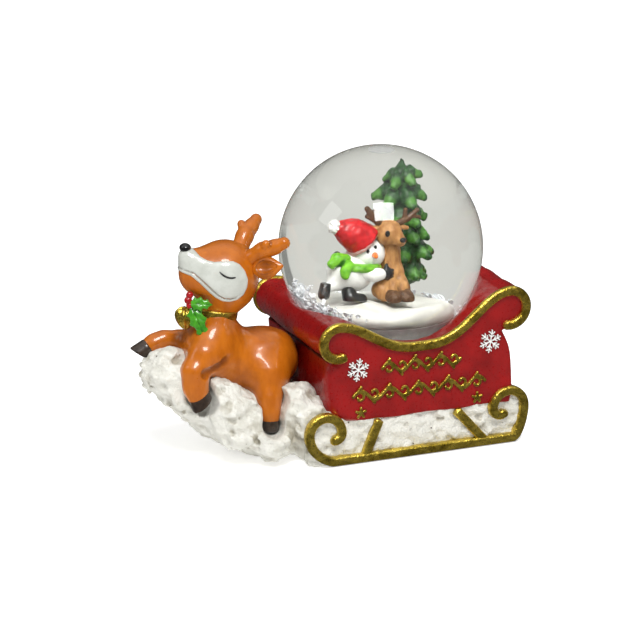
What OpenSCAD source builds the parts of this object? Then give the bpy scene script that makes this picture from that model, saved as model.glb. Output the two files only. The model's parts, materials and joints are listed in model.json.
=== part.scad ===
// Snow globe carried by a small sleigh, with a reindeer lying on a drift of snow in front.
// The row frame: +Z up, +X towards the back of the sleigh, the reindeer looks along -X.
// The origin is on the globe's axis, in the plane that the runners stand on. Millimetres.

/* [Globe] */
// Outside diameter of the glass ball
globe_d = 45; // [38:1:54]
// Thickness of the glass wall
glass_t = 1.5; // [1:0.1:2.2]
// Inside diameter of the ball's neck, which the stopper closes
neck_d = 29.4; // [24:0.2:31]
// Length of the straight neck below the ball
neck_l = 3.2; // [2:0.2:5]
// Thickness of the stopper's flange under the neck
flange_t = 1.4; // [1:0.1:2.5]
// Height of the air bubble under the top of the glass
bubble_h = 0.5; // [0.2:0.1:1.5]

/* [Sleigh] */
// Width of the red tub, without the gold trims
tub_w = 38.4; // [36:0.2:48]
// Distance from the globe's axis to the middle of the front scroll
front_reach = 18; // [16.5:0.5:24]
// Distance from the globe's axis to the middle of the rear scroll
rear_reach = 22.4; // [20:0.2:28]
// Height of the middle of the front scroll above the snow
front_scroll_h = 18.4; // [16:0.2:24]
// Height of the middle of the rear scroll above the snow
rear_scroll_h = 21.7; // [18:0.2:28]
// Radius of the front scroll, along the middle of the gold band
front_scroll_r = 3.5; // [3:0.1:4.5]
// Radius of the rear scroll, along the middle of the gold band
rear_scroll_r = 3.9; // [3:0.1:5]
// Height of the lowest point of the trim above the snow
saddle_h = 15.6; // [13:0.2:17]
// Distance behind the globe's axis of that lowest point
saddle_back = 1.5; // [0:0.5:4]
// Width of the gold bands, seen from the side
band_w = 2.1; // [1.5:0.1:2.6]
// How far the trims stand out from the tub's sides
trim_t = 0.9; // [0.5:0.1:1.5]
// Height of the globe's socket floor above the snow
socket_h = 12.5; // [9:0.5:13]

/* [Snow base] */
// Height of the snow under the tub
base_h = 9.3; // [7:0.1:13]
// Thickness of each runner across the sleigh
runner_t = 2.2; // [1.5:0.1:3]
// How far the runners stand out from the snow's sides
runner_proud = 0.9; // [0.4:0.1:1.4]
// Radius of the runners' scrolls, along the middle of the band
runner_scroll_r = 3.7; // [3:0.1:4.2]
// Thickness of the felt pad under the base
pad_t = 0.8; // [0.5:0.1:1.5]

/* [Reindeer] */
// Length of the body from rump to chest
deer_l = 26.8; // [24:0.2:32]
// Radius of the body at the rump
deer_r = 8; // [7:0.1:8.6]
// Height of the body's middle above the ground
deer_z = 18.6; // [17:0.1:21]
// Radius of the head
head_r = 8; // [7:0.1:9.6]
// Radius of the neck under the collar
neck_top_r = 4.4; // [3.8:0.1:5]
// Thickness of the collar
collar_t = 1.5; // [1:0.1:2]
// Length of an antler from the head
antler_l = 9.5; // [7:0.1:12]
// Length of a hoof
hoof_l = 3.6; // [3:0.1:4.5]

/* [Scene in the globe] */
// How far the white mound's edge stays inside the ball's neck
mound_gap = 0.5; // [0.2:0.1:3]
// Height of the mound above the stopper
mound_h = 5.2; // [3.6:0.1:6]
// Height of the fir tree
tree_h = 21.8; // [16:0.1:24]
// Radius of the fir tree's lowest tier
tree_r = 4.8; // [4:0.1:5.6]
// Number of tiers on the fir tree
tree_tiers = 6; // [4:1:7]
// Radius of the snowman's body
snowman_r = 4.2; // [3.4:0.1:4.4]
// Number of loose flakes in the liquid
flake_count = 28; // [8:1:40]

/* [Hidden] */
$fn = 48;
side_names = ["left", "right"];

// Gap between a cast piece and what is glued or set into it
fit_gap = 0.2;
// Tiny amount by which a cutter runs past a face
past = 0.5;

// ---- heights, from the table up
tub_z = base_h;
socket_z = tub_z + socket_h;
glue_t = 0.8;
stopper_z = socket_z + glue_t;
neck_z = stopper_z + flange_t;
ball_r = globe_d / 2;
ball_in_r = ball_r - glass_t;
neck_r = neck_d / 2;
neck_out_r = neck_r + glass_t;
ball_z = neck_z + neck_l + sqrt(pow(ball_in_r, 2) - pow(neck_r, 2));
stopper_top = neck_z + neck_l + 1.4;
mound_r = neck_r - mound_gap;
mound_z = stopper_top + mound_h;

// ---- the sleigh's side view, as points in X and Z
front_c = [-front_reach, tub_z + front_scroll_h];
rear_c = [rear_reach, tub_z + rear_scroll_h];
front_top = front_c + [0, front_scroll_r];
rear_top = rear_c + [0, rear_scroll_r];
saddle = [saddle_back, tub_z + saddle_h];
trim_rise = band_w / 2 - 0.35;
side_y = tub_w / 2;

function turn(a) = [cos(a), sin(a)];
function unit(v) = v / norm(v);
function mix(a, b, t) = a + (b - a) * t;
function arc(c, r, from, to, n) = [for (i = [0:n]) c + r * turn(mix(from, to, i / n))];
function spiral(c, r0, r1, from, to, n) =
    [for (i = [0:n]) c + mix(r0, r1, i / n) * turn(mix(from, to, i / n))];
function bend(a, b, c, n) = // quadratic curve from a to c, drawn towards b
    [for (i = [0:n]) let (t = i / n) a * pow(1 - t, 2) + b * 2 * t * (1 - t) + c * t * t];
function reversed(p) = [for (i = [len(p) - 1:-1:0]) p[i]];
function along(p, i) = unit(p[min(i + 1, len(p) - 1)] - p[max(i - 1, 0)]);
function beside(p, d) = [for (i = [0:len(p) - 1]) let (t = along(p, i)) p[i] + d * [-t.y, t.x]];
// Rises from 0 to 1 with level ends, and stays low for longer than it stays high
function swell(t) = pow((1 - cos(180 * t)) / 2, 1.5);
function slope(top, low, n) =
    [for (i = [1:n]) let (t = i / n) [mix(low.x, top.x, t), mix(low.y, top.y, swell(t))]];

front_curl = arc(front_c, front_scroll_r, -66, -270, 16);
rear_curl = arc(rear_c, rear_scroll_r, 90, -98, 16);
front_slope = slope(front_top, saddle, 10);
rear_slope = slope(rear_top, saddle, 10);
saddle_line = concat(reversed(front_slope), [saddle], rear_slope);
trim_path = concat(front_curl, [for (i = [1:len(saddle_line) - 2]) saddle_line[i]], rear_curl);

// The tub's own outline: the rolls and saddle a little inside the trim, then the bellied ends
tub_front_x = -front_reach - 0.9;
tub_rear_x = rear_reach - 0.2;
waist = 0.6;
tub_outline = concat(
    arc(front_c, front_scroll_r + trim_rise, -100, -262, 14),
    [for (i = [2:len(saddle_line) - 3]) saddle_line[i] + [0, trim_rise]],
    arc(rear_c, rear_scroll_r + trim_rise, 82, -88, 14),
    bend([tub_rear_x - waist - 1.6, rear_c.y - rear_scroll_r - 1.4], [tub_rear_x + 0.8, tub_z + 9],
        [tub_rear_x - 0.4, tub_z], 6),
    bend([tub_front_x + 1.8, tub_z], [tub_front_x - 0.8, tub_z + 8],
        [tub_front_x + waist, front_c.y - front_scroll_r - 1.2], 6)
);

// The runners' side view
runner_z = band_w / 2;
runner_front_c = [-front_reach - 3.2, 7.6];
runner_rear_c = [rear_reach + 0.2, 8.4];
runner_front = concat(
    spiral(runner_front_c, 1.9, runner_scroll_r, -50, 180, 18),
    bend(runner_front_c - [runner_scroll_r, 0.8], [runner_front_c.x - 3, 2.6],
        [runner_front_c.x + 1.6, runner_z], 8)
);
runner_rear = concat(
    bend([runner_rear_c.x + 1.4, runner_z], [runner_rear_c.x + 3.2, 2.8],
        runner_rear_c + [runner_scroll_r, -0.8], 8),
    spiral(runner_rear_c, runner_scroll_r, 1.9, 0, 230, 18)
);
runner_path = concat(runner_front, runner_rear);
runner_out = side_y + runner_proud;
runner_in = runner_out - runner_t;

strut_w = 1.7;
strut_front = [[-11.8, runner_z], [-8.4, tub_z - 0.2]];
strut_rear = [[16.9, runner_z], [10, tub_z - 0.7]];

// ---- the reindeer's skeleton
rump = [tub_front_x - 0.2, 0, deer_z];
chest = rump - [deer_l, 0, -4.4];
neck_foot = [chest.x + 6.2, 0, chest.z + 1];
neck_head = [chest.x + 7.8, 0, chest.z + 10.6];
neck_tilt = atan2(neck_head.x - neck_foot.x, neck_head.z - neck_foot.z);
neck_len = norm(neck_head - neck_foot);
neck_foot_r = neck_top_r + 1.7;
head_c = neck_head + [0.9, 0, head_r - 1.3];
muzzle_dir = unit([-1, 0, 0.66]);
muzzle_tip_r = 1.7;
muzzle_tip = head_c + muzzle_dir * (head_r + 3);
nose_c = muzzle_tip + [0.5, 0, muzzle_tip_r];
collar_at = 0.78 * neck_len;
leg_y = 0.95 * deer_r;
foreleg_spine = [
    [chest.x + 9, -leg_y + 2.6, chest.z + 0.6], [chest.x + 4.6, -leg_y, chest.z - 2],
    [chest.x + 1.6, -leg_y - 1.2, chest.z - 6.4], [chest.x + 1.7, -leg_y - 1.4, chest.z - 10]];
stretched_spine = [
    [chest.x + 4.6, leg_y - 3.4, chest.z + 1.8], [chest.x - 1, leg_y - 2.4, chest.z + 3],
    [chest.x - 5, leg_y - 2, chest.z + 2.6], [chest.x - 8, leg_y - 1.8, chest.z + 0.4]];
hind_spine = [
    [rump.x - 7.4, -leg_y + 3.6, rump.z - 1.4], [rump.x - 8.2, -leg_y + 0.6, rump.z - 6],
    [rump.x - 9.2, -leg_y - 0.6, rump.z - 9.2], [rump.x - 9.4, -leg_y - 0.9, rump.z - 11.6]];
foreleg_radii = [3.4, 2.9, 2.5, 2.3];
stretched_radii = [2.8, 2.7, 2.4, 2.2];
hind_radii = [4.6, 3.2, 2, 1.8];
hoof_flare = 0.35;

// ---- the figures on the mound: places from the globe's axis at the mound's top
tree_at = [5.4, 4.4, mound_z];
snowman_at = [-6.6, -1.8, mound_z];
fawn_at = [2.4, -2.6, mound_z];
snowman_c = snowman_at + [0, 0, snowman_r + 0.3];
snowman_head_r = 2.95;
snowman_head_c = snowman_c + [3.4, -0.4, snowman_r - 0.3];
hat_tip = snowman_head_c + [-6.3, 0.8, 5.6];
pompom_r = 1.35;
fawn_head_c = fawn_at + [-0.8, 0.6, 11.2];
fawn_head_r = 2.5;
flake_r = 0.45;
flake_t = 0.12;

// ================================================================ helpers
// Stands a side view up in X and Z, between two distances from the middle, on one side (-1 left, 1 right)
module upright(side, near, far) {
    low = side < 0 ? -far : near;
    translate([0, low + (far - near), 0]) rotate([90, 0, 0]) linear_extrude(far - near) children();
}

// A flat band of one width along a path, with round ends
function round_end(p, a, r) = [for (i = [1:7]) p + r * turn(a - 180 * i / 8)];
module band(path, w) {
    last = len(path) - 1;
    out = along(path, last);
    back = -along(path, 0);
    polygon(concat(beside(path, w / 2), round_end(path[last], atan2(out.y, out.x) + 90, w / 2),
        reversed(beside(path, -w / 2)), round_end(path[0], atan2(back.y, back.x) + 90, w / 2)));
}

// Points of a ring of radius r round point p, square to direction t, and that much wider across Y
function ring(p, t, r, sides, wide) =
    let (u = unit(cross(t, abs(t.y) > 0.9 ? [0, 0, 1] : [0, 1, 0])), v = cross(t, u))
    [for (k = [0:sides - 1]) p + r * (u * cos(360 * k / sides) + wide * v * sin(360 * k / sides))];

// A closed solid whose rings of the given radii follow a spine
module loft(spine, radii, sides = 12, wide = []) {
    last = len(spine) - 1;
    points = [for (i = [0:last]) 
        each ring(spine[i], along(spine, i), radii[i], sides, i < len(wide) ? wide[i] : 1)];
    walls = [for (i = [0:last - 1], k = [0:sides - 1]) let (n = (k + 1) % sides)
        each [[i * sides + k, (i + 1) * sides + k, i * sides + n],
            [i * sides + n, (i + 1) * sides + k, (i + 1) * sides + n]]];
    start = [[for (k = [0:sides - 1]) k]];
    end = [[for (k = [sides - 1:-1:0]) last * sides + k]];
    polyhedron(concat(points), concat(walls, start, end));
}

// A loft whose spine is smoothed into short steps
function smooth(p, n) = [for (i = [0:len(p) - 2], k = [0:n - 1])
    let (t = k / n, a = p[max(i - 1, 0)], b = p[i], c = p[i + 1], d = p[min(i + 2, len(p) - 1)])
    0.5 * (2 * b + (c - a) * t + (2 * a - 5 * b + 4 * c - d) * t * t + (3 * b - a - 3 * c + d) * t * t * t)];
module limb(spine, radii, steps = 2, sides = 12) {
    last = len(spine) - 1;
    loft(concat(smooth(spine, steps), [spine[last]]), concat(smooth(radii, steps), [radii[last]]), sides);
}

// Copies that mirror a left-hand piece to the right
module on_side(side) {
    if (side < 0) children();
    else mirror([0, 1, 0]) children();
}

// ================================================================ sleigh
module sleigh_tub() {
    color("firebrick") difference() {
        translate([0, side_y, 0]) rotate([90, 0, 0]) linear_extrude(tub_w) polygon(tub_outline);
        translate([0, 0, ball_z]) sphere(ball_r + fit_gap);
        translate([0, 0, socket_z]) cylinder(r = neck_out_r + fit_gap, h = ball_z - socket_z);
        for (s = [-1, 1]) runner_cutter(s);
    }
}

module trim(side) {
    color("goldenrod") upright(side, side_y, side_y + trim_t) band(trim_path, band_w);
}

module runner(side) {
    color("goldenrod") upright(side, runner_in, runner_out) band(runner_path, band_w);
}

// Room for a runner in what it is let into
module runner_cutter(side) {
    upright(side, runner_in, runner_out + past) band(runner_path, band_w);
}

// A slanted bar let into the snow, cut off by the runner that it stands on
module strut(side, line) {
    color("goldenrod") difference() {
        upright(side, runner_in, runner_out - 0.2) band(line, strut_w);
        upright(side, runner_in - past, runner_out + past) band(runner_path, band_w);
        tub_cutter();
    }
}

// One six-armed snowflake with forked tips, in side view
module snowflake(r) {
    arm_w = 0.55;
    for (a = [0:60:300]) rotate(a + 10) {
        translate([0, -arm_w / 2]) square([r, arm_w]);
        for (fork = [-45, 45]) translate([0.55 * r, 0]) rotate(fork) translate([0, -arm_w / 2])
            square([0.38 * r, arm_w]);
    }
}

snowflake_r = 2.4;
snowflake_t = 0.5;
module snowflakes(side) {
    color("white") for (at = [[-front_reach + 4, tub_z + 12.1], [rear_reach - 4.9, tub_z + 14.6]])
        upright(side, side_y, side_y + snowflake_t) translate(at) snowflake(snowflake_r);
}

// Gold scrollwork on the tub's side: a long vine under a short one, with a curl in each bend and stars above
ornament_t = 0.5;
vine_w = 0.9;
module star(r) {
    polygon([for (k = [0:9]) (k % 2 ? 0.42 * r : r) * turn(36 * k + 90)]);
}
module vine(from, to, height, rise, bends) {
    step = (to - from) / bends;
    band([for (i = [0:8 * bends]) let (t = i / 8) [from + t * step, height - rise * cos(180 * t)]], vine_w);
    for (k = [1:bends - 1]) let (up = k % 2 ? -1 : 1, c = [from + k * step, height + 0.36 * up * rise])
        band([for (i = [0:12]) let (t = i / 12, a = 90 - 330 * t, r = mix(0.24, 0.07, t) * step)
            c + r * [cos(a), -up * sin(a)]], 0.8 * vine_w);
}
upper_vine_z = tub_z + 10.9;
lower_vine_z = tub_z + 5.7;
module ornament(side) {
    color("goldenrod") upright(side, side_y, side_y + ornament_t) {
        vine(saddle_back - 9, saddle_back + 9, upper_vine_z, 1.2, 4);
        vine(-front_reach + 3.4, rear_reach - 6, lower_vine_z, 1.7, 7);
        for (x = [-front_reach + 5.2, rear_reach - 7.6]) translate([x, lower_vine_z - 3.6]) star(1.1);
    }
}

// ================================================================ snow
// Sections of the drift from the sleigh forward: how far in front of the tub, height, radius, stretch in Y
nose_out = tub_front_x - chest.x;
drift = [
    [-3, 5.5, 9.6, 1.66], [4, 6.6, 10, 1.6], [11, 8.2, 9.8, 1.45],
    [0.68 * nose_out, chest.z - 11.6, 8.6, 1.32],
    [nose_out - 1, chest.z - 7.6, 7, 1.28], [nose_out + 5.4, chest.z - 4, 4.9, 1.24],
    [nose_out + 9.4, chest.z - 1.6, 2, 1.2]];
pad_clear = 3;

module block_outline() {
    polygon(concat(
        [[runner_rear_c.x + 1.4, 0], runner_rear_c + [1.2, -5]],
        arc(runner_rear_c, runner_scroll_r - 0.6, -20, 140, 8),
        [[rear_reach - 4, tub_z], [-front_reach, tub_z]],
        arc(runner_front_c, runner_scroll_r - 0.6, 40, 200, 8),
        [[runner_front_c.x + 0.4, 0]]));
}

module snow_block() {
    translate([0, side_y, 0]) rotate([90, 0, 0]) linear_extrude(tub_w) block_outline();
}

module tub_cutter() {
    translate([0, side_y + past, 0]) rotate([90, 0, 0]) linear_extrude(tub_w + 2 * past)
        polygon(tub_outline);
}

module snow_base() {
    color("snow") difference() {
        snow_block();
        tub_cutter();
        for (s = [-1, 1]) {
            runner_cutter(s);
            for (line = [strut_front, strut_rear])
                upright(s, runner_in, runner_out + past) band(line, strut_w);
        }
        translate([0, 0, -past]) linear_extrude(pad_t + past) pad_outline();
    }
}

// The drift under the reindeer, cut flat where it stands and hollowed where the reindeer lies
module snow_drift() {
    color("snow") difference() {
        loft([for (q = drift) [tub_front_x - q[0], 0, q[1]]], [for (q = drift) q[2]], 20,
            [for (q = drift) q[3]]);
        translate([-100, -50, -50]) cube([200, 100, 50]);
        snow_block();
        tub_cutter();
        torso();
        for (s = [-1, 1]) leg_solids(s);
    }
}

module pad_outline() {
    square([front_reach + rear_reach - 2 * pad_clear, 2 * (runner_in - pad_clear)], center = true);
}

module base_pad() {
    color("darkgreen") linear_extrude(pad_t) pad_outline();
}

// ================================================================ reindeer
torso_rings = [ // share of the length, rise, share of the radius
    [0, 0, 0.3], [0.04, 0, 0.6], [0.13, 0.1, 0.86], [0.28, 0.2, 1], [0.46, 0.9, 0.93], [0.64, 1.8, 0.88],
    [0.8, 3, 0.8], [0.93, 3.9, 0.58], [1, 4.4, 0.26]];
module torso() {
    loft([for (q = torso_rings) rump + [-q[0] * deer_l, 0, q[1]]],
        [for (q = torso_rings) q[2] * deer_r], 16);
}

module deer_neck(extra = 0) {
    translate(neck_foot) rotate([0, neck_tilt, 0])
        cylinder(r1 = neck_foot_r + extra, r2 = neck_top_r + extra, h = neck_len);
}

module deer_body() {
    color("sienna") difference() {
        union() {
            torso();
            deer_neck();
        }
        translate(head_c) sphere(head_r);
    }
}

module head_solid() {
    translate(head_c) sphere(head_r);
    translate(head_c) rotate([0, -atan2(-muzzle_dir.x, muzzle_dir.z), 0])
        cylinder(r1 = 0.72 * head_r, r2 = muzzle_tip_r, h = head_r + 3);
}

// The side view of the white face: a teardrop from the muzzle to the cheek
cheek_r = 0.6 * head_r;
module face_outline() {
    hull() {
        translate([head_c.x + 0.9, head_c.z - 1.6]) circle(cheek_r, $fn = 32);
        translate([muzzle_tip.x, muzzle_tip.z]) circle(muzzle_tip_r + 0.6, $fn = 32);
    }
}
module face_region() {
    translate([0, 30, 0]) rotate([90, 0, 0]) linear_extrude(60) face_outline();
}

face_t = 0.35;
module deer_face() {
    color("whitesmoke") intersection() {
        difference() {
            translate(head_c) sphere(head_r);
            translate(head_c) sphere(head_r - face_t);
        }
        face_region();
    }
}

module deer_head() {
    color("sienna") difference() {
        head_solid();
        intersection() {
            difference() {
                translate(head_c) sphere(head_r + past);
                translate(head_c) sphere(head_r - face_t);
            }
            face_region();
        }
        translate(nose_c) sphere(nose_r);
    }
}

nose_r = 1.35;
module deer_nose() {
    color("black") translate(nose_c) sphere(nose_r);
}

// Closed eyes: thin arcs bent round the cheeks
lash_at = head_c + [-0.6, 0, 0.4];
module deer_lashes() {
    color("black") for (s = [-1, 1]) intersection() {
        upright(s, 0, 30) band(arc([lash_at.x, lash_at.z], 1.7, 205, 335, 8), 0.35);
        difference() {
            translate(head_c) sphere(head_r + 0.15);
            translate(head_c) sphere(head_r);
        }
    }
}

antler_dir = unit([6, -6, 3.8]);
tine_dir = unit([0.6, -2, 4]);
module antler(side) {
    root = head_c + head_r * unit([3.6, -3.2, 5.6]);
    color("sienna") difference() {
        on_side(side) union() {
            limb([root - antler_dir, root + 0.4 * antler_l * antler_dir, root + antler_l * antler_dir],
                [1.5, 1.6, 0.8], 3);
            limb([root + 0.3 * antler_l * antler_dir, root + 0.42 * antler_l * antler_dir + 1.6 * tine_dir,
                root + 0.48 * antler_l * antler_dir + 3.6 * tine_dir], [1.2, 1.1, 0.6], 2);
        }
        translate(head_c) sphere(head_r);
    }
}

module ear(side) {
    root = head_c + head_r * unit([5.2, -4.6, 0.8]);
    out = unit([4.4, -4.6, 1]);
    color("sienna") difference() {
        on_side(side) limb([root - out, root + 1.6 * out, root + 4.6 * out, root + 6.4 * out],
            [1, 1.9, 1.9, 0.7], 2);
        translate(head_c) sphere(head_r);
    }
}

// Where a limb ends and which way it points
function tip_of(spine) = spine[len(spine) - 1];
function aim_of(spine) = unit(tip_of(spine) - spine[len(spine) - 2]);
module hoof(spine, r) {
    aim = aim_of(spine);
    limb([tip_of(spine), tip_of(spine) + 0.5 * hoof_l * aim, tip_of(spine) + hoof_l * aim],
        [r + 0.02, r + hoof_flare, 0.62 * r], 2);
}

// The legs of one side, each with its hoof
module leg_solids(side) {
    fore = side < 0 ? foreleg_spine : stretched_spine;
    fore_radii = side < 0 ? foreleg_radii : stretched_radii;
    limb(fore, fore_radii);
    hoof(fore, tip_of(fore_radii));
    on_side(side) {
        limb(hind_spine, hind_radii);
        hoof(hind_spine, tip_of(hind_radii));
    }
}

module foreleg(side) {
    color("sienna") difference() {
        limb(side < 0 ? foreleg_spine : stretched_spine, side < 0 ? foreleg_radii : stretched_radii);
        torso();
        deer_neck();
    }
}

module hind_leg(side) {
    color("sienna") difference() {
        on_side(side) limb(hind_spine, hind_radii);
        torso();
    }
}

module deer_hooves() {
    color("dimgray") difference() {
        for (side = [-1, 1]) {
            hoof(side < 0 ? foreleg_spine : stretched_spine,
                tip_of(side < 0 ? foreleg_radii : stretched_radii));
            on_side(side) hoof(hind_spine, tip_of(hind_radii));
        }
        limb(foreleg_spine, foreleg_radii);
        limb(stretched_spine, stretched_radii);
        for (side = [-1, 1]) on_side(side) limb(hind_spine, hind_radii);
    }
}

module collar() {
    color("goldenrod") difference() {
        translate(neck_foot) rotate([0, neck_tilt, 0]) translate([0, 0, collar_at - collar_t / 2])
            cylinder(r = mix(neck_foot_r, neck_top_r, collar_at / neck_len) + 0.7, h = collar_t);
        deer_neck();
        translate(head_c) sphere(head_r);
    }
}

// The bell hangs at the front of the collar, with the holly beside it
collar_c = mix(neck_foot, neck_head, collar_at / neck_len);
bell_r = 2.3;
slot_w = 0.7;
bell_c = collar_c + [-neck_top_r - 1.2 - bell_r, -1, 0];
module collar_bell() {
    color("goldenrod") difference() {
        union() {
            translate(bell_c) sphere(bell_r);
            translate(bell_c) rotate([0, 70, 0]) cylinder(r = 0.8, h = bell_r + 1.4);
        }
        translate(bell_c - [slot_w / 2, bell_r + past, bell_r + past])
            cube([slot_w, 2 * (bell_r + past), bell_r + past]);
        deer_neck(0.7);
        torso();
        translate(head_c) sphere(head_r);
    }
}

leaf_t = 0.7;
berry_r = 0.95;
module holly_leaf(l, w) {
    linear_extrude(leaf_t) polygon([for (k = [0:15]) let (a = 360 * k / 16, r = k % 2 ? 1 : 0.74)
        [l / 2 * (1 + cos(a)), r * w / 2 * sin(a)]]);
}
holly_at = bell_c + [1.2, -bell_r - 1, 3];
module holly_leaves() {
    color("forestgreen") difference() {
        translate(holly_at) rotate([90, 0, 0]) {
            rotate(-66) translate([0.6, 0, 0]) holly_leaf(6.4, 3.6);
            rotate(4) translate([0.9, 0, 0]) holly_leaf(5, 3.2);
        }
        translate(head_c) sphere(head_r);
        deer_neck();
        berries();
    }
}
module berries() {
    for (p = [[-0.4, -0.1], [-0.9, 1.5], [0.7, 1.9]])
        translate(holly_at + [p.x, -0.2, p.y]) sphere(berry_r);
}
module holly_berries() {
    color("crimson") difference() {
        berries();
        translate(head_c) sphere(head_r);
    }
}

// ================================================================ globe
// The right half of a disc, for turning into a ball
module half_disc(r) {
    intersection() {
        circle(r, $fn = 96);
        translate([0, -r]) square([r, 2 * r]);
    }
}

module glass_globe() {
    color("azure", 0.4) rotate_extrude() difference() {
        union() {
            intersection() {
                translate([0, ball_z]) half_disc(ball_r);
                translate([0, neck_z]) square([ball_r, 2 * ball_r]);
            }
            translate([0, neck_z]) square([neck_out_r, ball_z - neck_z]);
        }
        translate([0, ball_z]) half_disc(ball_in_r);
        translate([0, neck_z - past]) square([neck_r, neck_l + past]);
    }
}

module stopper() {
    color("dimgray") {
        translate([0, 0, stopper_z]) cylinder(r = neck_out_r, h = flange_t);
        translate([0, 0, neck_z]) cylinder(r = neck_r, h = stopper_top - neck_z);
    }
}

module seat_glue() {
    color("ivory") translate([0, 0, socket_z]) cylinder(r = neck_out_r, h = glue_t);
}

mound_round = 1.8;
module snow_mound() {
    color("white") translate([0, 0, stopper_top]) rotate_extrude() {
        square([mound_r - mound_round, mound_h]);
        square([mound_r, mound_h - mound_round]);
        translate([mound_r - mound_round, mound_h - mound_round]) intersection() {
            circle(mound_round);
            square(mound_round);
        }
    }
}

// The liquid fills the ball round a simple envelope of the figures, up to the air bubble
boots_room = 3;
module liquid() {
    color("lightcyan", 0.2) difference() {
        translate([0, 0, ball_z]) sphere(ball_in_r);
        translate([0, 0, ball_z - 2 * ball_r]) cylinder(r = ball_r, h = 2 * ball_r - (ball_z - stopper_top));
        translate([0, 0, stopper_top - past]) cylinder(r = mound_r + 0.1, h = mound_h + past + boots_room);
        translate([0, 0, ball_z + ball_in_r - bubble_h]) cylinder(r = ball_r, h = ball_r);
        translate([tree_at.x, tree_at.y, mound_z]) cylinder(r1 = tree_r + 1.6, r2 = 2.2, h = tree_h + 0.4);
        translate(snowman_c + [0.6, -0.3, 3.4]) sphere(9.4);
        translate(fawn_at + [0.2, 0.6, 8.6]) sphere(9.8);
        for (k = [1:flake_count]) flake(k, 0.05);
    }
}

// Loose flakes round the mound, on a spiral of even steps that climbs a little
golden_angle = 137.5;
flake_climb = 4;
module flake(k, grow) {
    a = k * golden_angle;
    translate([0, 0, stopper_top + 0.4 + flake_climb * k / flake_count]) rotate(a)
        translate([mound_r + flake_r + 0.3, 0, 0]) cylinder(r = flake_r + grow, h = flake_t + grow, $fn = 6);
}
module loose_flakes() {
    color("white") for (k = [1:flake_count]) flake(k, 0);
}

trunk_h = 1.8;
module tree_trunk() {
    color("saddlebrown") translate(tree_at) cylinder(r = 1, h = trunk_h);
}

module fir_solid() {
    tier_h = (tree_h - trunk_h) / (tree_tiers + 0.8);
    translate(tree_at + [0, 0, trunk_h]) for (k = [0:tree_tiers - 1]) {
        r = mix(tree_r, 1.7, k / (tree_tiers - 1));
        translate([0, 0, k * tier_h]) cylinder(r1 = r, r2 = 0.3 * r, h = 1.8 * tier_h);
    }
}
module fir_tree() {
    color("darkgreen") fir_solid();
}

module snowman_body() {
    color("whitesmoke") difference() {
        translate(snowman_c) sphere(snowman_r);
        translate(snowman_head_c) sphere(snowman_head_r);
        scarf_solid();
        fawn_torso();
        boots_solid();
        brim_solid();
    }
}

module snowman_head() {
    color("whitesmoke") translate(snowman_head_c) sphere(snowman_head_r);
}

face_dir = unit([0.75, -1, -0.12]);
module snowman_eyes() {
    color("black") for (a = [-22, 22]) difference() {
        translate(snowman_head_c) rotate([0, 0, a])
            translate(snowman_head_r * unit([0.75, -1, 0.1])) sphere(0.38);
        translate(snowman_head_c) sphere(snowman_head_r);
        brim_solid();
    }
}

module snowman_nose() {
    color("darkorange") difference() {
        translate(snowman_head_c + (snowman_head_r + 0.35) * face_dir) sphere(0.75);
        translate(snowman_head_c) sphere(snowman_head_r);
    }
}

hat_dir = unit([-0.42, 0.1, 1]);
brim_h = 1;
brim_r = snowman_head_r + 0.5;
module hat_solid(grow = 0) {
    top = mix(snowman_head_c, hat_tip, 0.7) + [0.4, 0, 0.9];
    loft([snowman_head_c + 1.3 * hat_dir, snowman_head_c + 2.8 * hat_dir, top, hat_tip],
        [snowman_head_r + 0.2 + grow, snowman_head_r - 0.2 + grow, 1.8 + grow, 0.8 + grow], 16);
}
module snowman_hat() {
    color("red") difference() {
        hat_solid();
        translate(snowman_head_c) sphere(snowman_head_r);
        translate(hat_tip) sphere(pompom_r);
        brim_solid();
        fawn_head_solid();
    }
}

module brim_solid() {
    translate(snowman_head_c) rotate([0, atan2(hat_dir.x, hat_dir.z), 0])
        translate([0, 0, 0.6]) cylinder(r = brim_r, h = brim_h);
}
module hat_brim() {
    color("linen") difference() {
        brim_solid();
        translate(snowman_head_c) sphere(snowman_head_r);
        fawn_head_solid();
    }
}

module hat_pompom() {
    color("whitesmoke") translate(hat_tip) sphere(pompom_r);
}

scarf_c = mix(snowman_c, snowman_head_c, 0.5);
scarf_tilt = 28;
module scarf_solid() {
    translate(scarf_c) rotate([0, scarf_tilt, 0]) rotate_extrude() translate([2.5, 0]) circle(1, $fn = 24);
    limb([scarf_c + [-2.6, -1.4, 0.6], scarf_c + [-3.2, -3, -0.6], scarf_c + [-2.8, -3.9, -2.2]],
        [0.9, 1, 0.8], 2, 8);
}
module scarf() {
    color("limegreen") difference() {
        scarf_solid();
        translate(snowman_head_c) sphere(snowman_head_r);
        fawn_torso();
        brim_solid();
        hat_solid();
    }
}

hand = fawn_at + [0.2, -3.6, 5.3];
hand_r = 1.15;
module snowman_arm() {
    color("whitesmoke") difference() {
        limb([snowman_c + [2, -3, 1], mix(snowman_c + [2, -3, 1], hand, 0.6), hand - [0.5, 0, 0]],
            [1.3, 1.2, 1], 2, 10);
        translate(snowman_c) sphere(snowman_r);
        scarf_solid();
        fawn_torso();
        translate(hand) sphere(hand_r);
    }
}

module mittens() {
    color("black") for (p = [hand, snowman_c + [-3.4, 1.4, 4.6]]) difference() {
        translate(p) sphere(hand_r);
        fawn_torso();
        translate(snowman_c) sphere(snowman_r);
        scarf_solid();
        translate(snowman_head_c) sphere(snowman_head_r);
        hat_solid();
        brim_solid();
    }
}

module boots_solid() {
    for (p = [[-4, 1.6], [0.7, -1.6]]) translate(snowman_at + [p.x, p.y, 0]) {
        cylinder(r = 1.3, h = 1.9);
        translate([0.9, -0.5, 0]) cylinder(r = 1.15, h = 1.2);
    }
}
module boots() {
    color("black") difference() {
        boots_solid();
        fawn_torso();
    }
}

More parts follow.
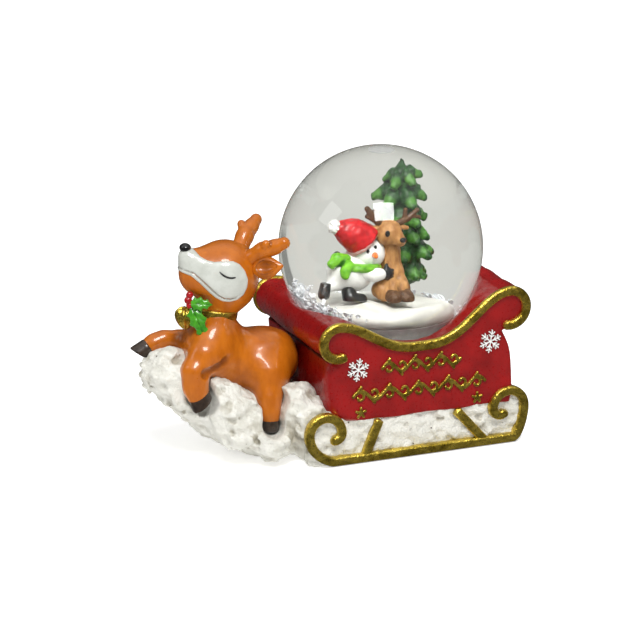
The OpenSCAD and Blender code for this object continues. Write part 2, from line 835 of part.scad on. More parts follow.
module fawn_torso() {
    loft([for (q = [[0, 0], [0, 1.8], [-0.2, 4.4], [-0.5, 7.2], [-0.8, 9.6]]) fawn_at + [q.x, 0, q.y]],
        [3, 3.2, 2.7, 1.9, 1.7], 14);
}
module fawn_body() {
    color("peru") difference() {
        fawn_torso();
        fawn_head_solid();
        fawn_hoof_solids();
        translate(snowman_head_c) sphere(snowman_head_r);
        fir_solid();
    }
}

fawn_look = unit([0.9, -0.75, -0.3]);
module fawn_head_solid() {
    translate(fawn_head_c) sphere(fawn_head_r);
    translate(fawn_head_c + 2.3 * fawn_look) sphere(1.5);
}
module fawn_head() {
    color("peru") difference() {
        fawn_head_solid();
        translate(snowman_head_c) sphere(snowman_head_r);
        tip_solid();
    }
}

module tip_solid() {
    translate(fawn_head_c + 3.5 * fawn_look + [0, 0, 0.5]) sphere(0.7);
}
module fawn_muzzle_tip() {
    color("black") tip_solid();
}

module fawn_eyes() {
    color("black") for (a = [-38, 38]) difference() {
        translate(fawn_head_c) rotate([0, 0, a])
            translate(fawn_head_r * unit([0.9, -0.75, 0.3])) sphere(0.55);
        fawn_head_solid();
        translate(snowman_head_c) sphere(snowman_head_r);
    }
}

module fawn_antlers() {
    color("saddlebrown") for (s = [-1, 1]) difference() {
        limb([fawn_head_c + [s * 1.2, 0.6, 1.4], fawn_head_c + [s * 2.4, 1, 3.3],
            fawn_head_c + [s * 3.2, 1, 5.4]], [0.9, 1, 0.8], 2, 8);
        fawn_head_solid();
        hat_solid(0.1);
        translate(snowman_head_c) sphere(snowman_head_r);
        brim_solid();
        fir_solid();
    }
}

module fawn_ears() {
    color("peru") for (s = [-1, 1]) difference() {
        limb([fawn_head_c + [s * 1.6, 1.2, -0.2], fawn_head_c + [s * 3, 1.8, 0],
            fawn_head_c + [s * 4, 2, 0.1]], [0.8, 0.8, 0.4], 2, 8);
        fawn_head_solid();
        hat_solid(0.1);
        translate(snowman_head_c) sphere(snowman_head_r);
        brim_solid();
        fir_solid();
    }
}

module fawn_hoof_solids() {
    for (x = [-1.5, 1.5]) translate(fawn_at + [x + 0.5, -2.9, 0]) cylinder(r = 1.35, h = 1.6);
}
module fawn_hooves() {
    color("saddlebrown") difference() {
        fawn_hoof_solids();
        boots_solid();
    }
}

// ================================================================ nodes
for (i = [0, 1]) {
    s = side_names[i];
    side = [-1, 1][i];
    trim(side);
    runner(side);
    strut(side, strut_front);
    strut(side, strut_rear);
    ornament(side);
    snowflakes(side);
    antler(side);
    ear(side);
    foreleg(side);
    hind_leg(side);
}
snow_base();
snow_drift();
base_pad();
sleigh_tub();
deer_body();
deer_head();
deer_face();
deer_nose();
deer_lashes();
deer_hooves();
collar();
collar_bell();
holly_leaves();
holly_berries();
glass_globe();
stopper();
seat_glue();
liquid();
snow_mound();
loose_flakes();
tree_trunk();
fir_tree();
snowman_body();
snowman_head();
snowman_eyes();
snowman_nose();
snowman_hat();
hat_brim();
hat_pompom();
scarf();
snowman_arm();
mittens();
boots();
fawn_body();
fawn_head();
fawn_muzzle_tip();
fawn_eyes();
fawn_antlers();
fawn_ears();
fawn_hooves();
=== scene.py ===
"""Looks of a snow globe on a sleigh, drawn by a reindeer: painted resin, glass, liquid and the scene inside.

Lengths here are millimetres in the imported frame; mesh() and sweep() turn them into metres.
"""
import json
from math import cos, pi, radians, sin, sqrt

import bmesh
import bpy
import numpy as np
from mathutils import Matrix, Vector

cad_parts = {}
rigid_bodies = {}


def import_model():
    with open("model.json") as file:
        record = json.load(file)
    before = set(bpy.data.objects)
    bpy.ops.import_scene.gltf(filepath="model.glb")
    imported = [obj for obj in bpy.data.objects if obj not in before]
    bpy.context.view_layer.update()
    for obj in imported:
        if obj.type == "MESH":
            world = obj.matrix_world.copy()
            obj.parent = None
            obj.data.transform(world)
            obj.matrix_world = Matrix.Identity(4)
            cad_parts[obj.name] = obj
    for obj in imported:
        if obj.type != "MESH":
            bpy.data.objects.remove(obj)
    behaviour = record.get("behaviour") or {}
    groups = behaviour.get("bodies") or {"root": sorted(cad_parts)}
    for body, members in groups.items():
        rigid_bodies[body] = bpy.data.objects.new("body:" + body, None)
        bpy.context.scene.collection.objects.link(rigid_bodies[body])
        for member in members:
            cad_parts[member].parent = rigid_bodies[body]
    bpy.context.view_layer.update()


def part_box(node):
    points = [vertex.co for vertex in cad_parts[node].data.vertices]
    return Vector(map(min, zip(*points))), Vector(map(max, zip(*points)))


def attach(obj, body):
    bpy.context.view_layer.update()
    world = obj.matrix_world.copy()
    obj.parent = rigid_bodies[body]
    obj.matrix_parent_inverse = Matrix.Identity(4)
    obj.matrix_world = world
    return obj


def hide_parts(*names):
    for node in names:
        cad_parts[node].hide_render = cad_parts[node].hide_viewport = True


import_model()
MM = 0.001
CELL = 1.0
LEFT, RIGHT = -1, 1
SIDES = {LEFT: "left", RIGHT: "right"}


# ---------------------------------------------------------------- places taken from the frame
def corners(node):
    """Lowest and highest corner of a CAD node, in millimetres."""
    low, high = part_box(node)
    return np.array(low) / MM, np.array(high) / MM


def vec(*numbers):
    """A point or a way."""
    return np.array(numbers, float)


ball_low, ball_high = corners("glass_globe")
BALL_R = (ball_high[0] - ball_low[0]) / 2
BALL = vec(0, 0, ball_high[2] - BALL_R)
NECK_Z = ball_low[2]
stopper_high = corners("stopper")[1]
NECK_OUT = stopper_high[0]
BALL_IN = corners("liquid")[1][0]
NECK_IN = 14.7  # inner radius of the open neck
SHOULDER = 3.0  # height of its straight part
BUBBLE_R = 2.6
WATER_TOP = BALL[2] + sqrt(BALL_IN ** 2 - BUBBLE_R ** 2)
STOPPER_TOP = stopper_high[2]

head_low, head_high = corners("deer_head")
HEAD_R = head_high[1]
HEAD = vec(head_high[0] - HEAD_R, 0, head_low[2] + HEAD_R)

tub_low, tub_high = corners("sleigh_tub")
SIDE = tub_high[1]
MOUND_TOP = corners("snow_mound")[1][2]


# ---------------------------------------------------------------- distance fields, in millimetres
def length(v):
    """Root of the sum of squares over the last axis."""
    return np.sqrt((v * v).sum(-1))


def ball(p, centre, r):
    """Distance to a ball."""
    return length(p - centre) - r


def egg(p, centre, radii):
    """Near distance to an ellipsoid: k (k - 1) / |q / r^2| with k = |q / r|."""
    q = p - centre
    k = length(q / radii)
    return k * (k - 1) / np.maximum(length(q / np.square(radii)), 1e-6)


def bone(p, a, b, ra, rb):
    """Distance to a rod from a to b whose radius runs evenly from ra to rb, with round ends."""
    ab = b - a
    h = np.clip(((p - a) * ab).sum(-1) / (ab @ ab), 0, 1)
    return length(p - a - h[..., None] * ab) - (ra + (rb - ra) * h)


def blend(a, b, k):
    """Union of two fields with a fillet about k wide: the polynomial smooth minimum."""
    h = np.maximum(k - np.abs(a - b), 0) / k
    return np.minimum(a, b) - h * h * k / 4


def carve(a, b, k):
    """Field a without field b, with a fillet about k wide."""
    return -blend(-a, b, k)


def limb(p, points, radii, k=1.0):
    """Rods end to end through the points, blended."""
    d = bone(p, points[0], points[1], radii[0], radii[1])
    for i in range(1, len(points) - 1):
        d = blend(d, bone(p, points[i], points[i + 1], radii[i], radii[i + 1]), k)
    return d


def ripples(p, wave, seed, count=7):
    """Mean of sine waves in fixed scattered directions, between about -1 and 1."""
    dice = np.random.default_rng(seed)
    ways = dice.normal(size=(count, 3))
    ways /= length(ways)[:, None]
    total = 0
    for way, phase, rate in zip(ways, dice.uniform(0, 2 * pi, count), dice.uniform(0.7, 1.4, count)):
        total = total + np.sin(p @ (way * rate * 2 * pi / wave).astype(p.dtype) + phase)
    return total / sqrt(count) / 1.2


def flat_grid(low, high, step):
    """Points in X and Z at even steps."""
    return np.stack(np.meshgrid(*(np.arange(low[k], high[k], step) for k in range(2)), indexing="ij"), -1)


def off_line(q, a, b):
    """Distance in X and Z from the points q to the straight line from a to b."""
    ab = b - a
    h = np.clip(((q - a) @ ab) / max(ab @ ab, 1e-12), 0, 1)
    return length(q - a - h[..., None] * ab)


def reader(table, low, step):
    """A field that is read bilinearly, at a point's X and Z, from a table of even steps."""
    last = [size - 1.001 for size in table.shape]

    def read(p):
        """Mean of the four table entries round the point, each weighed by its nearness."""
        u = np.clip((p[..., 0] - low[0]) / step, 0, last[0])
        v = np.clip((p[..., 2] - low[1]) / step, 0, last[1])
        i, j = u.astype(int), v.astype(int)
        fu, fv = u - i, v - j
        return ((1 - fu) * (1 - fv) * table[i, j] + fu * (1 - fv) * table[i + 1, j]
                + (1 - fu) * fv * table[i, j + 1] + fu * fv * table[i + 1, j + 1])
    return read


def outline_field(points, step=0.12, margin=3.0):
    """Signed distance to a closed outline in X and Z, worked out on a fine table."""
    points = np.asarray(points, float)
    low, high = points.min(0) - margin, points.max(0) + margin
    q = flat_grid(low, high, step)
    best, inside = np.full(q.shape[:2], 1e9), np.zeros(q.shape[:2], bool)
    for a, b in zip(points, np.roll(points, -1, 0)):
        best = np.minimum(best, off_line(q, a, b))
        if a[1] != b[1]:
            crosses = (q[..., 1] >= min(a[1], b[1])) & (q[..., 1] < max(a[1], b[1]))
            inside ^= crosses & (q[..., 0] < a[0] + (q[..., 1] - a[1]) * (b[0] - a[0]) / (b[1] - a[1]))
    return reader(np.where(inside, -best, best), low, step)


# ---------------------------------------------------------------- meshes
EDGES = [(a, a | bit) for a in range(8) for bit in (1, 2, 4) if not a & bit]


def corner_offset(c):
    """A cell corner's place from the three bits of its number."""
    return (c & 1, c >> 1 & 1, c >> 2 & 1)


def slopes(field, p, h=0.02):
    """Gradient of a field by central differences."""
    return np.stack([(field(p + h * e) - field(p - h * e)) / (2 * h) for e in np.eye(3)], -1)


def skin(field, low, high, cell):
    """Closed quad mesh of a field's zero surface.

    One vertex in each grid cell that the surface crosses, at the mean of its edge crossings, and one quad
    round each grid edge that the surface crosses. Two Newton steps then put the vertices on the surface.
    """
    cell = cell * CELL
    low, high = np.asarray(low, float) - 2 * cell, np.asarray(high, float) + 2 * cell
    axes = [np.arange(low[k], high[k] + cell, cell) for k in range(3)]
    p = np.stack(np.meshgrid(*axes, indexing="ij"), -1).astype(np.float32)
    d = np.asarray(field(p), float)
    for k in range(3):  # nothing crosses the border, so that the surface closes
        d[(slice(None),) * k + ((0, -1),)] = np.abs(d[(slice(None),) * k + ((0, -1),)]) + 1e-3
    n = [s - 1 for s in d.shape]
    cut = [d[tuple(slice(o, o + m) for o, m in zip(corner_offset(c), n))] for c in range(8)]
    within = sum((c < 0).astype(int) for c in cut)
    live = (within > 0) & (within < 8)
    cells = np.argwhere(live)
    number = np.full(live.shape, -1)
    number[live] = np.arange(len(cells))
    values = [c[live] for c in cut]
    place, share = np.zeros((len(cells), 3)), np.zeros(len(cells))
    for a, b in EDGES:
        crossed = (values[a] < 0) != (values[b] < 0)
        t = values[a] / np.where(crossed, values[a] - values[b], 1)
        oa, ob = np.array(corner_offset(a), float), np.array(corner_offset(b), float)
        place += np.where(crossed[:, None], oa + t[:, None] * (ob - oa), 0)
        share += crossed
    verts = low + cell * (cells + place / share[:, None])
    quads = []
    for k in range(3):
        u, v = (k + 1) % 3, (k + 2) % 3
        here = d[(slice(None),) * k + (slice(0, -1),)] < 0
        there = d[(slice(None),) * k + (slice(1, None),)] < 0
        at = np.argwhere(here != there)
        at = at[(at[:, u] > 0) & (at[:, v] > 0) & (at[:, u] < n[u]) & (at[:, v] < n[v])]
        step_u, step_v = np.eye(3, dtype=int)[u], np.eye(3, dtype=int)[v]
        ring = [number[tuple((at - du * step_u - dv * step_v).T)] for du,
                dv in ((1, 1), (0, 1), (0, 0), (1, 0))]
        face = np.stack(ring, -1)
        outward = here[tuple(at.T)]
        face[~outward] = face[~outward][:, ::-1]
        quads.append(face)
    for _ in range(2):
        g = slopes(field, verts)
        move = field(verts)[:, None] * g / np.maximum((g * g).sum(-1), 1e-6)[:, None]
        verts = verts - np.clip(move, -0.6 * cell, 0.6 * cell)
    return verts, np.concatenate(quads)


def hollows(field, verts, reach):
    """How deep a vertex lies in a crease: 0 on an outer surface, towards 1 in a tight inner corner."""
    g = slopes(field, verts, 0.1)
    out = verts + reach * g / np.maximum(length(g), 1e-6)[:, None]
    return np.clip(1.25 * (1 - field(out) / reach), 0, 1)


def put(name, data):
    """Puts a mesh, a lamp or a camera into the scene."""
    body = bpy.data.objects.new(name, data)
    bpy.context.scene.collection.objects.link(body)
    return body


def mesh(name, verts, faces, paint, smooth=True, **attributes):
    """A Blender object from millimetre vertices, with one number per vertex for each attribute."""
    data = bpy.data.meshes.new(name)
    faces = np.asarray(faces)
    data.vertices.add(len(verts))
    data.vertices.foreach_set("co", (np.asarray(verts, float) * MM).astype(np.float32).ravel())
    data.loops.add(faces.size)
    data.loops.foreach_set("vertex_index", faces.astype(np.int32).ravel())
    data.polygons.add(len(faces))
    data.polygons.foreach_set("loop_start", np.arange(len(faces), dtype=np.int32) * faces.shape[1])
    data.polygons.foreach_set("use_smooth", np.full(len(faces), smooth))
    for key, values in attributes.items():
        data.attributes.new(key, "FLOAT", "POINT").data.foreach_set("value", np.asarray(values, np.float32))
    data.update(calc_edges=True)
    data.validate()
    data.materials.append(paint.material)
    return put(name, data)


def declare(piece, slot, *nodes):
    """The piece rides on the one body and stands for CAD nodes; slot is not used."""
    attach(piece, "root")
    if nodes:
        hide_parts(*nodes)
    return piece


def sculpt(name, field, low, high, cell, paint, slot, reach=1.0, nodes=None, **extra):
    """A piece from a field, with its creases as an attribute and one more attribute for each extra function.

    It stands for the CAD node of its own name, unless other nodes are given.
    """
    verts, faces = skin(field, low, high, cell)
    more = {key: rule(verts) for key, rule in extra.items()}
    piece = mesh(name, verts, faces, paint, hollow=hollows(field, verts, reach), **more)
    return declare(piece, slot, *(nodes or (name,)))


def tube_grid(path, across, section, sizes):
    """Points of a section carried along a path: point + size (across u + tangent x across v)."""
    path = np.asarray(path, float)
    tangent = np.gradient(path, axis=0)
    tangent /= length(tangent)[:, None]
    across = np.broadcast_to(np.asarray(across, float), path.shape)
    across = across - (across * tangent).sum(-1, keepdims=True) * tangent
    across = across / length(across)[:, None]
    normal = np.cross(tangent, across)
    sizes = np.asarray(sizes, float)[:, None, None]
    return path[:, None] + sizes * (across[:, None] * section[None, :, :1] + normal[:, None]
                                    * section[None, :, 1:])


def sweep(name, paths, across, section, paint, slot, nodes=(), round_end=0.0):
    """Closed beads along paths. Their ends shrink as sqrt(1 - (1 - s / r)^2) over the length round_end."""
    all_verts, all_faces, start = [], [], 0
    for path in paths:
        path = np.asarray(path, float)
        run = np.concatenate([[0], np.cumsum(length(np.diff(path, axis=0)))])
        edge = np.minimum(run, run[-1] - run)
        sizes = np.sqrt(np.clip(1 - np.square(1 - np.clip(edge / max(round_end, 1e-6), 0.02, 1)), 0, 1))
        grid = tube_grid(path, across, section, sizes if round_end else np.ones(len(path)))
        n, m = grid.shape[:2]
        i, j = np.meshgrid(np.arange(n - 1), np.arange(m), indexing="ij")
        k = (j + 1) % m
        quad = np.stack([i * m + j, i * m + k, (i + 1) * m + k, (i + 1) * m + j], -1).reshape(-1, 4)
        tips = np.stack([grid[0].mean(0), grid[-1].mean(0)])
        j = np.arange(m)
        k = (j + 1) % m
        first = np.stack([np.full(m, n * m), k, j, j], -1)
        last = np.stack([np.full(m, n * m + 1), (n - 1) * m + j, (n - 1) * m + k, (n - 1) * m + k], -1)
        all_verts += [grid.reshape(-1, 3), tips]
        all_faces.append((quad, first[:, :3], last[:, :3], start))
        start += n * m + 2
    verts = np.concatenate(all_verts)
    data = bpy.data.meshes.new(name)
    data.from_pydata((verts * MM).tolist(), [], sum(((group + s).tolist() for *groups, s in all_faces
                                                     for group in groups), []))
    data.polygons.foreach_set("use_smooth", np.ones(len(data.polygons), bool))
    data.update()
    data.materials.append(paint.material)
    piece = put(name, data)
    outward(piece)
    return declare(piece, slot, *nodes)


def outward(piece, weld=False):
    """Turns every face of a closed mesh outwards, and with weld closes its poles first."""
    work = bmesh.new()
    work.from_mesh(piece.data)
    if weld:
        bmesh.ops.remove_doubles(work, verts=work.verts, dist=0.05 * MM)
        bmesh.ops.dissolve_degenerate(work, edges=work.edges, dist=0.001 * MM)
    bmesh.ops.recalc_face_normals(work, faces=work.faces)
    work.to_mesh(piece.data)
    work.free()


def lathe(profile, turns=128):
    """Vertices and quads of a profile of (radius, height) turned about Z: x = r cos a, y = r sin a."""
    profile = np.asarray(profile, float)
    a = np.linspace(0, 2 * pi, turns, endpoint=False)
    grid = np.stack([profile[:, None, 0] * np.cos(a), profile[:, None, 0] * np.sin(a),
                     np.repeat(profile[:, None, 1], turns, 1)], -1)
    i, j = np.meshgrid(np.arange(len(profile) - 1), np.arange(turns), indexing="ij")
    k = (j + 1) % turns
    faces = np.stack([i * turns + j, i * turns + k, (i + 1) * turns + k, (i + 1) * turns + j], -1)
    return grid.reshape(-1, 3), faces.reshape(-1, 4)


# ---------------------------------------------------------------- materials
class Wire:
    """A shader socket that Python's + - * join by Math nodes."""

    def __init__(self, nodes, socket):
        self.nodes, self.socket = nodes, socket

    def __add__(self, other):
        return self.nodes.maths("ADD", self, other)

    def __sub__(self, other):
        return self.nodes.maths("SUBTRACT", self, other)

    def __rsub__(self, other):
        return self.nodes.maths("SUBTRACT", other, self)

    def __mul__(self, other):
        return self.nodes.maths("MULTIPLY", self, other)

    __radd__, __rmul__ = __add__, __mul__


class Nodes:
    """A node tree, and what its nodes are made with."""

    def __init__(self, tree):
        self.tree = tree

    def node(self, kind, settings=(), inputs=(), output=0):
        """Adds a node: its settings first, then the values or wires of its sockets; gives one output."""
        node = self.tree.nodes.new("ShaderNode" + kind)
        for key, value in dict(settings).items():
            setattr(node, key, value)
        for key, value in dict(inputs).items():
            if isinstance(value, Wire):
                self.tree.links.new(value.socket, node.inputs[key])
            else:
                node.inputs[key].default_value = value
        return Wire(self, node.outputs[output])

    def feed(self, wire, node, key):
        """Joins a wire to a socket of a node that the tree came with."""
        self.tree.links.new(wire.socket, self.tree.nodes[node].inputs[key])

    def maths(self, operation, a, b):
        """One Math node."""
        return self.node("Math", {"operation": operation}, {0: a, 1: b})

    def ramp(self, value, low, high, to_low=0.0, to_high=1.0, ease="LINEAR"):
        """Maps low..high onto to_low..to_high, held at both ends."""
        return self.node("MapRange", {"clamp": True, "interpolation_type": ease},
                         {"Value": value, "From Min": low, "From Max": high, "To Min": to_low,
                          "To Max": to_high})

    def share(self, a, b, part):
        """Number a turning to number b as part goes from 0 to 1."""
        return self.node("Mix", {"data_type": "FLOAT"}, {0: part, 2: a, 3: b})

    def strip(self, x, y, ease="LINEAR"):
        """1 where the heading of x and y is that of the painted dark band seen through the globe, else 0."""
        heading = self.maths("ARCTAN2", y, x)
        return (self.ramp(heading, radians(13), radians(16), 0, 1, ease)
                * self.ramp(heading, radians(27), radians(29), 1, 0, ease))


class Paint(Nodes):
    """A material and the nodes that vary over its surface; constants sit on the shader's own sockets."""

    def __init__(self, name, **constants):
        self.material = bpy.data.materials.new(name)
        self.material.use_nodes = True
        super().__init__(self.material.node_tree)
        self.shader = self.tree.nodes["Principled BSDF"]
        for key, value in constants.items():
            self.shader.inputs[key.replace("_", " ").title().replace("Ior", "IOR")].default_value = value

    def place(self, stretch=(1, 1, 1)):
        """Object coordinates in millimetres, stretched."""
        spot = self.node("TexCoord", output="Object")
        return self.node("Mapping", {"vector_type": "TEXTURE"},
                         {"Vector": spot, "Scale": tuple(MM * s for s in stretch)})

    def noise(self, size, detail=3.0, stretch=(1, 1, 1), twist=0.0):
        """Noise whose features are about size millimetres."""
        return self.node("TexNoise", (), {"Vector": self.place(stretch), "Scale": 1 / size, "Detail": detail,
                                          "Roughness": 0.55, "Distortion": twist})

    def dots(self, size):
        """Distance to scattered points about size millimetres apart."""
        return self.node("TexVoronoi", {"feature": "F1"}, {"Vector": self.place(), "Scale": 1 / size})

    def attribute(self, name):
        """A number that the mesh carries per vertex."""
        return self.node("Attribute", {"attribute_name": name}, output="Fac")

    def mix(self, a, b, share):
        """Colour a turning to colour b as share goes from 0 to 1."""
        def full(c):
            return c if isinstance(c, Wire) else (*c, 1)
        return self.node("Mix", {"data_type": "RGBA"}, {0: share, 6: full(a), 7: full(b)}, output=2)

    def colour(self, wire):
        """The colour that varies over the surface."""
        self.feed(wire, "Principled BSDF", "Base Color")

    def rough(self, wire):
        """The roughness that varies over the surface."""
        self.feed(wire, "Principled BSDF", "Roughness")

    def bump(self, height, depth):
        """Relief that is depth millimetres high for a height of 0 to 1."""
        relief = self.node("Bump", (), {"Height": height, "Distance": depth * MM, "Strength": 1.0})
        self.feed(relief, "Principled BSDF", "Normal")

    def instead(self, wire):
        """Another shader takes the painted one's place."""
        self.feed(wire, "Material Output", "Surface")
        self.tree.nodes.remove(self.shader)
        return self


def enamel(name, light, dark, crease, size=3.0, stretch=(1, 1, 1), gloss=0.32, coat=0.8, relief=0.05):
    """Brushed-on resin paint under varnish: two tones in brush strokes, a dark wash in the creases that also
    paints their shade.
    """
    paint = Paint(name, coat_weight=coat, coat_roughness=0.06, specular_ior_level=0.3)
    strokes = paint.ramp(paint.noise(size, 4.0, stretch), 0.35, 0.68)
    tone = paint.mix(light, dark, strokes)
    # painted shade and wash: creases, as the hollow attribute finds them, turn towards the crease colour
    wash = paint.ramp(paint.attribute("hollow") + 0.25 * paint.noise(0.8), 0.25, 0.95)
    paint.colour(paint.mix(tone, crease, wash))
    paint.rough(paint.ramp(paint.noise(0.6), 0.2, 0.8, gloss - 0.08, gloss + 0.1))
    paint.bump(paint.noise(size * 0.6, 3.0, stretch) + 0.3 * paint.noise(0.35, 2.0), relief)
    return paint


RED = enamel("red_varnish", (0.29, 0.003, 0.003), (0.19, 0.002, 0.002), (0.06, 0.001, 0.001), 5.0,
             (1, 2.5, 1),
             gloss=0.3, coat=0.35, relief=0.06)
BROWN = enamel("coat_paint", (0.52, 0.140, 0.006), (0.40, 0.098, 0.003), (0.13, 0.026, 0.002), 2.4,
               (1, 1, 3), coat=0.6)
FACE = enamel("face_paint", (0.55, 0.565, 0.52), (0.46, 0.475, 0.43), (0.30, 0.28, 0.24), 2.5, gloss=0.3)
HOOF = enamel("hoof_paint", (0.045, 0.028, 0.018), (0.02, 0.012, 0.008), (0.01, 0.006, 0.004), 1.2)
BLACK = enamel("black_gloss", (0.010, 0.010, 0.011), (0.004, 0.004, 0.005), (0.002, 0.002, 0.002), 1.0)
LEAF = enamel("leaf_paint", (0.075, 0.36, 0.016), (0.03, 0.21, 0.009), (0.01, 0.07, 0.005), 1.4, (2, 1, 1))
BERRY = enamel("berry_paint", (0.42, 0.006, 0.010), (0.24, 0.003, 0.006), (0.10, 0.002, 0.003), 1.0)
WHITE = enamel("white_paint", (0.84, 0.84, 0.82), (0.72, 0.72, 0.70), (0.42, 0.41, 0.39), 1.5, gloss=0.42,
               coat=0.3)
HAT = enamel("hat_paint", (0.55, 0.012, 0.016), (0.36, 0.007, 0.010), (0.10, 0.003, 0.004), 1.0, gloss=0.4,
             coat=0.3)
BRIM = enamel("brim_paint", (0.55, 0.36, 0.33), (0.42, 0.22, 0.20), (0.20, 0.06, 0.06), 0.8, gloss=0.45,
              coat=0.2)
SCARF = enamel("scarf_paint", (0.20, 0.52, 0.03), (0.10, 0.36, 0.015), (0.03, 0.14, 0.008), 0.9, gloss=0.4,
               coat=0.3)
CARROT = enamel("carrot_paint", (0.85, 0.20, 0.02), (0.65, 0.12, 0.01), (0.25, 0.04, 0.01), 0.5)
FAWN = enamel("fawn_paint", (0.46, 0.235, 0.080), (0.30, 0.130, 0.040), (0.085, 0.034, 0.012), 0.9,
              (1, 1, 2.5),
              gloss=0.45, coat=0.2)
HORN = enamel("horn_paint", (0.12, 0.055, 0.022), (0.065, 0.028, 0.012), (0.02, 0.009, 0.005), 0.7,
              gloss=0.45,
              coat=0.2)
RUBBER = enamel("stopper_rubber", (0.20, 0.20, 0.19), (0.13, 0.13, 0.125), (0.05, 0.05, 0.05), 2.0,
                gloss=0.6,
                coat=0.0)
GLUE = enamel("set_glue", (0.62, 0.58, 0.46), (0.50, 0.46, 0.35), (0.25, 0.2, 0.15), 2.0, gloss=0.35,
              coat=0.0)


def gold_paint(name, size):
    """Antique gold: metal flakes in brushed streaks, olive-brown where the wash stays in the low parts."""
    paint = Paint(name, metallic=0.92, coat_weight=0.25, coat_roughness=0.15)
    streaks = paint.noise(size, 5.0, (1.6, 1, 1), twist=0.6)
    tone = paint.mix((0.30, 0.205, 0.014), (0.86, 0.64, 0.095), paint.ramp(streaks, 0.32, 0.66))
    wash = paint.ramp(paint.noise(0.45, 3.0), 0.56, 0.8)
    paint.colour(paint.mix(tone, (0.13, 0.09, 0.010), wash * 0.5))
    paint.rough(paint.ramp(paint.noise(0.5), 0.25, 0.75, 0.22, 0.42))
    paint.bump(paint.noise(0.9, 4.0) + 0.4 * paint.noise(0.3, 2.0), 0.22)
    return paint


def snow_paint(name):
    """Rough cast snow: grain and pinholes under a satin varnish, painted grey-beige shade in the folds."""
    paint = Paint(name, coat_weight=0.25, coat_roughness=0.25)
    tone = paint.mix((0.76, 0.75, 0.69), (0.64, 0.63, 0.56), paint.ramp(paint.noise(3.0, 4.0), 0.35, 0.7))
    # painted shade: grey-beige where the hollow attribute finds folds
    fold_shade = paint.ramp(paint.attribute("hollow") + 0.2 * paint.noise(0.9), 0.3, 1.0)
    tone = paint.mix(tone, (0.44, 0.41, 0.33), fold_shade)
    holes = paint.ramp(paint.dots(2.2), 0.05, 0.11, 1.0, 0.0)
    sparse = paint.ramp(paint.noise(5.0), 0.54, 0.6)
    paint.colour(paint.mix(tone, (0.16, 0.11, 0.07), holes * sparse))
    paint.rough(paint.ramp(paint.noise(0.5), 0.2, 0.8, 0.36, 0.6))
    grain = paint.noise(0.55, 3.0) + 1.4 * paint.noise(1.6, 3.0)
    paint.bump(grain - holes * sparse, 0.34)
    return paint


GOLD = gold_paint("gold_paint", 1.6)
BELL_GOLD = gold_paint("bell_gold", 0.8)
SNOW = snow_paint("snow_resin")
MOUND = enamel("mound_paint", (0.76, 0.75, 0.71), (0.68, 0.67, 0.63), (0.55, 0.53, 0.5), 3.0, gloss=0.45,
               coat=0.15)


def fir_paint():
    """Dark green needles whose tips are dry-brushed light green, darkened by painted shade in the hollows.
    """
    paint = Paint("fir_paint", coat_weight=0.15, coat_roughness=0.25, specular_ior_level=0.3)
    tone = paint.mix((0.018, 0.075, 0.016), (0.006, 0.028, 0.007), paint.ramp(paint.noise(0.9), 0.35, 0.7))
    tips = paint.ramp(paint.attribute("tip") + 1.5 * paint.noise(0.9, 4.0), 1.25, 1.75)
    tone = paint.mix(tone, (0.065, 0.20, 0.028), tips)
    # painted shade: the hollows between the lumps turn near black green
    paint.colour(paint.mix(tone, (0.004, 0.018, 0.005), paint.ramp(paint.attribute("hollow"), 0.35, 1.0)))
    paint.rough(paint.ramp(paint.noise(0.5), 0.2, 0.8, 0.35, 0.55))
    paint.bump(paint.noise(0.5, 3.0), 0.12)
    return paint


FIR = fir_paint()


def see_through(name, ior, tint):
    """Glass between two clear bodies, as their ratio of refraction; lamps shine straight through it."""
    paint = Paint(name)
    glass = paint.node("BsdfGlass", (), {"IOR": ior, "Roughness": 0.0, "Color": (*tint, 1)})
    clear = paint.node("BsdfTransparent", (), {"Color": (*tint, 1)})
    shade = paint.node("LightPath", output="Is Shadow Ray")
    return paint.instead(paint.node("MixShader", (), {0: shade, 1: glass, 2: clear}))


def window(name):
    """A wall that does nothing to light, where the next surface already bends it."""
    paint = Paint(name)
    return paint.instead(paint.node("BsdfTransparent"))


GLASS_N, WATER_N = 1.5, 1.333
GLASS = see_through("clear_glass", GLASS_N, (0.985, 0.99, 0.985))
WET_WALL = see_through("liquid_at_glass", WATER_N / GLASS_N, (0.985, 0.985, 0.97))
WATER = see_through("liquid_at_air", WATER_N, (1, 1, 1))
INNER = window("wet_inner_wall")
FLAKE = enamel("flake_plastic", (0.88, 0.90, 0.93), (0.76, 0.79, 0.84), (0.6, 0.62, 0.66), 1.0, gloss=0.2,
               coat=0.5)


# ================================================================ the resin casting
def rounded_slab(flat, off, r):
    """An outline field and a distance from a slab's face, joined with a rounded edge of radius r."""
    a, b = flat + r, off + r
    corner = np.sqrt(np.square(np.maximum(a, 0)) + np.square(np.maximum(b, 0)))
    return np.minimum(np.maximum(a, b), 0) + corner - r


def slab(p, centre, half, r):
    """Distance to a box with rounded edges."""
    q = np.abs(p - centre) - (half - r)
    return length(np.maximum(q, 0)) + np.minimum(q.max(-1), 0) - r


def squeeze(p, centre, wide):
    """Space pressed together in Y about a centre, so that a ball there comes out wide times as broad."""
    return centre + (p - centre) / vec(1, wide, 1)


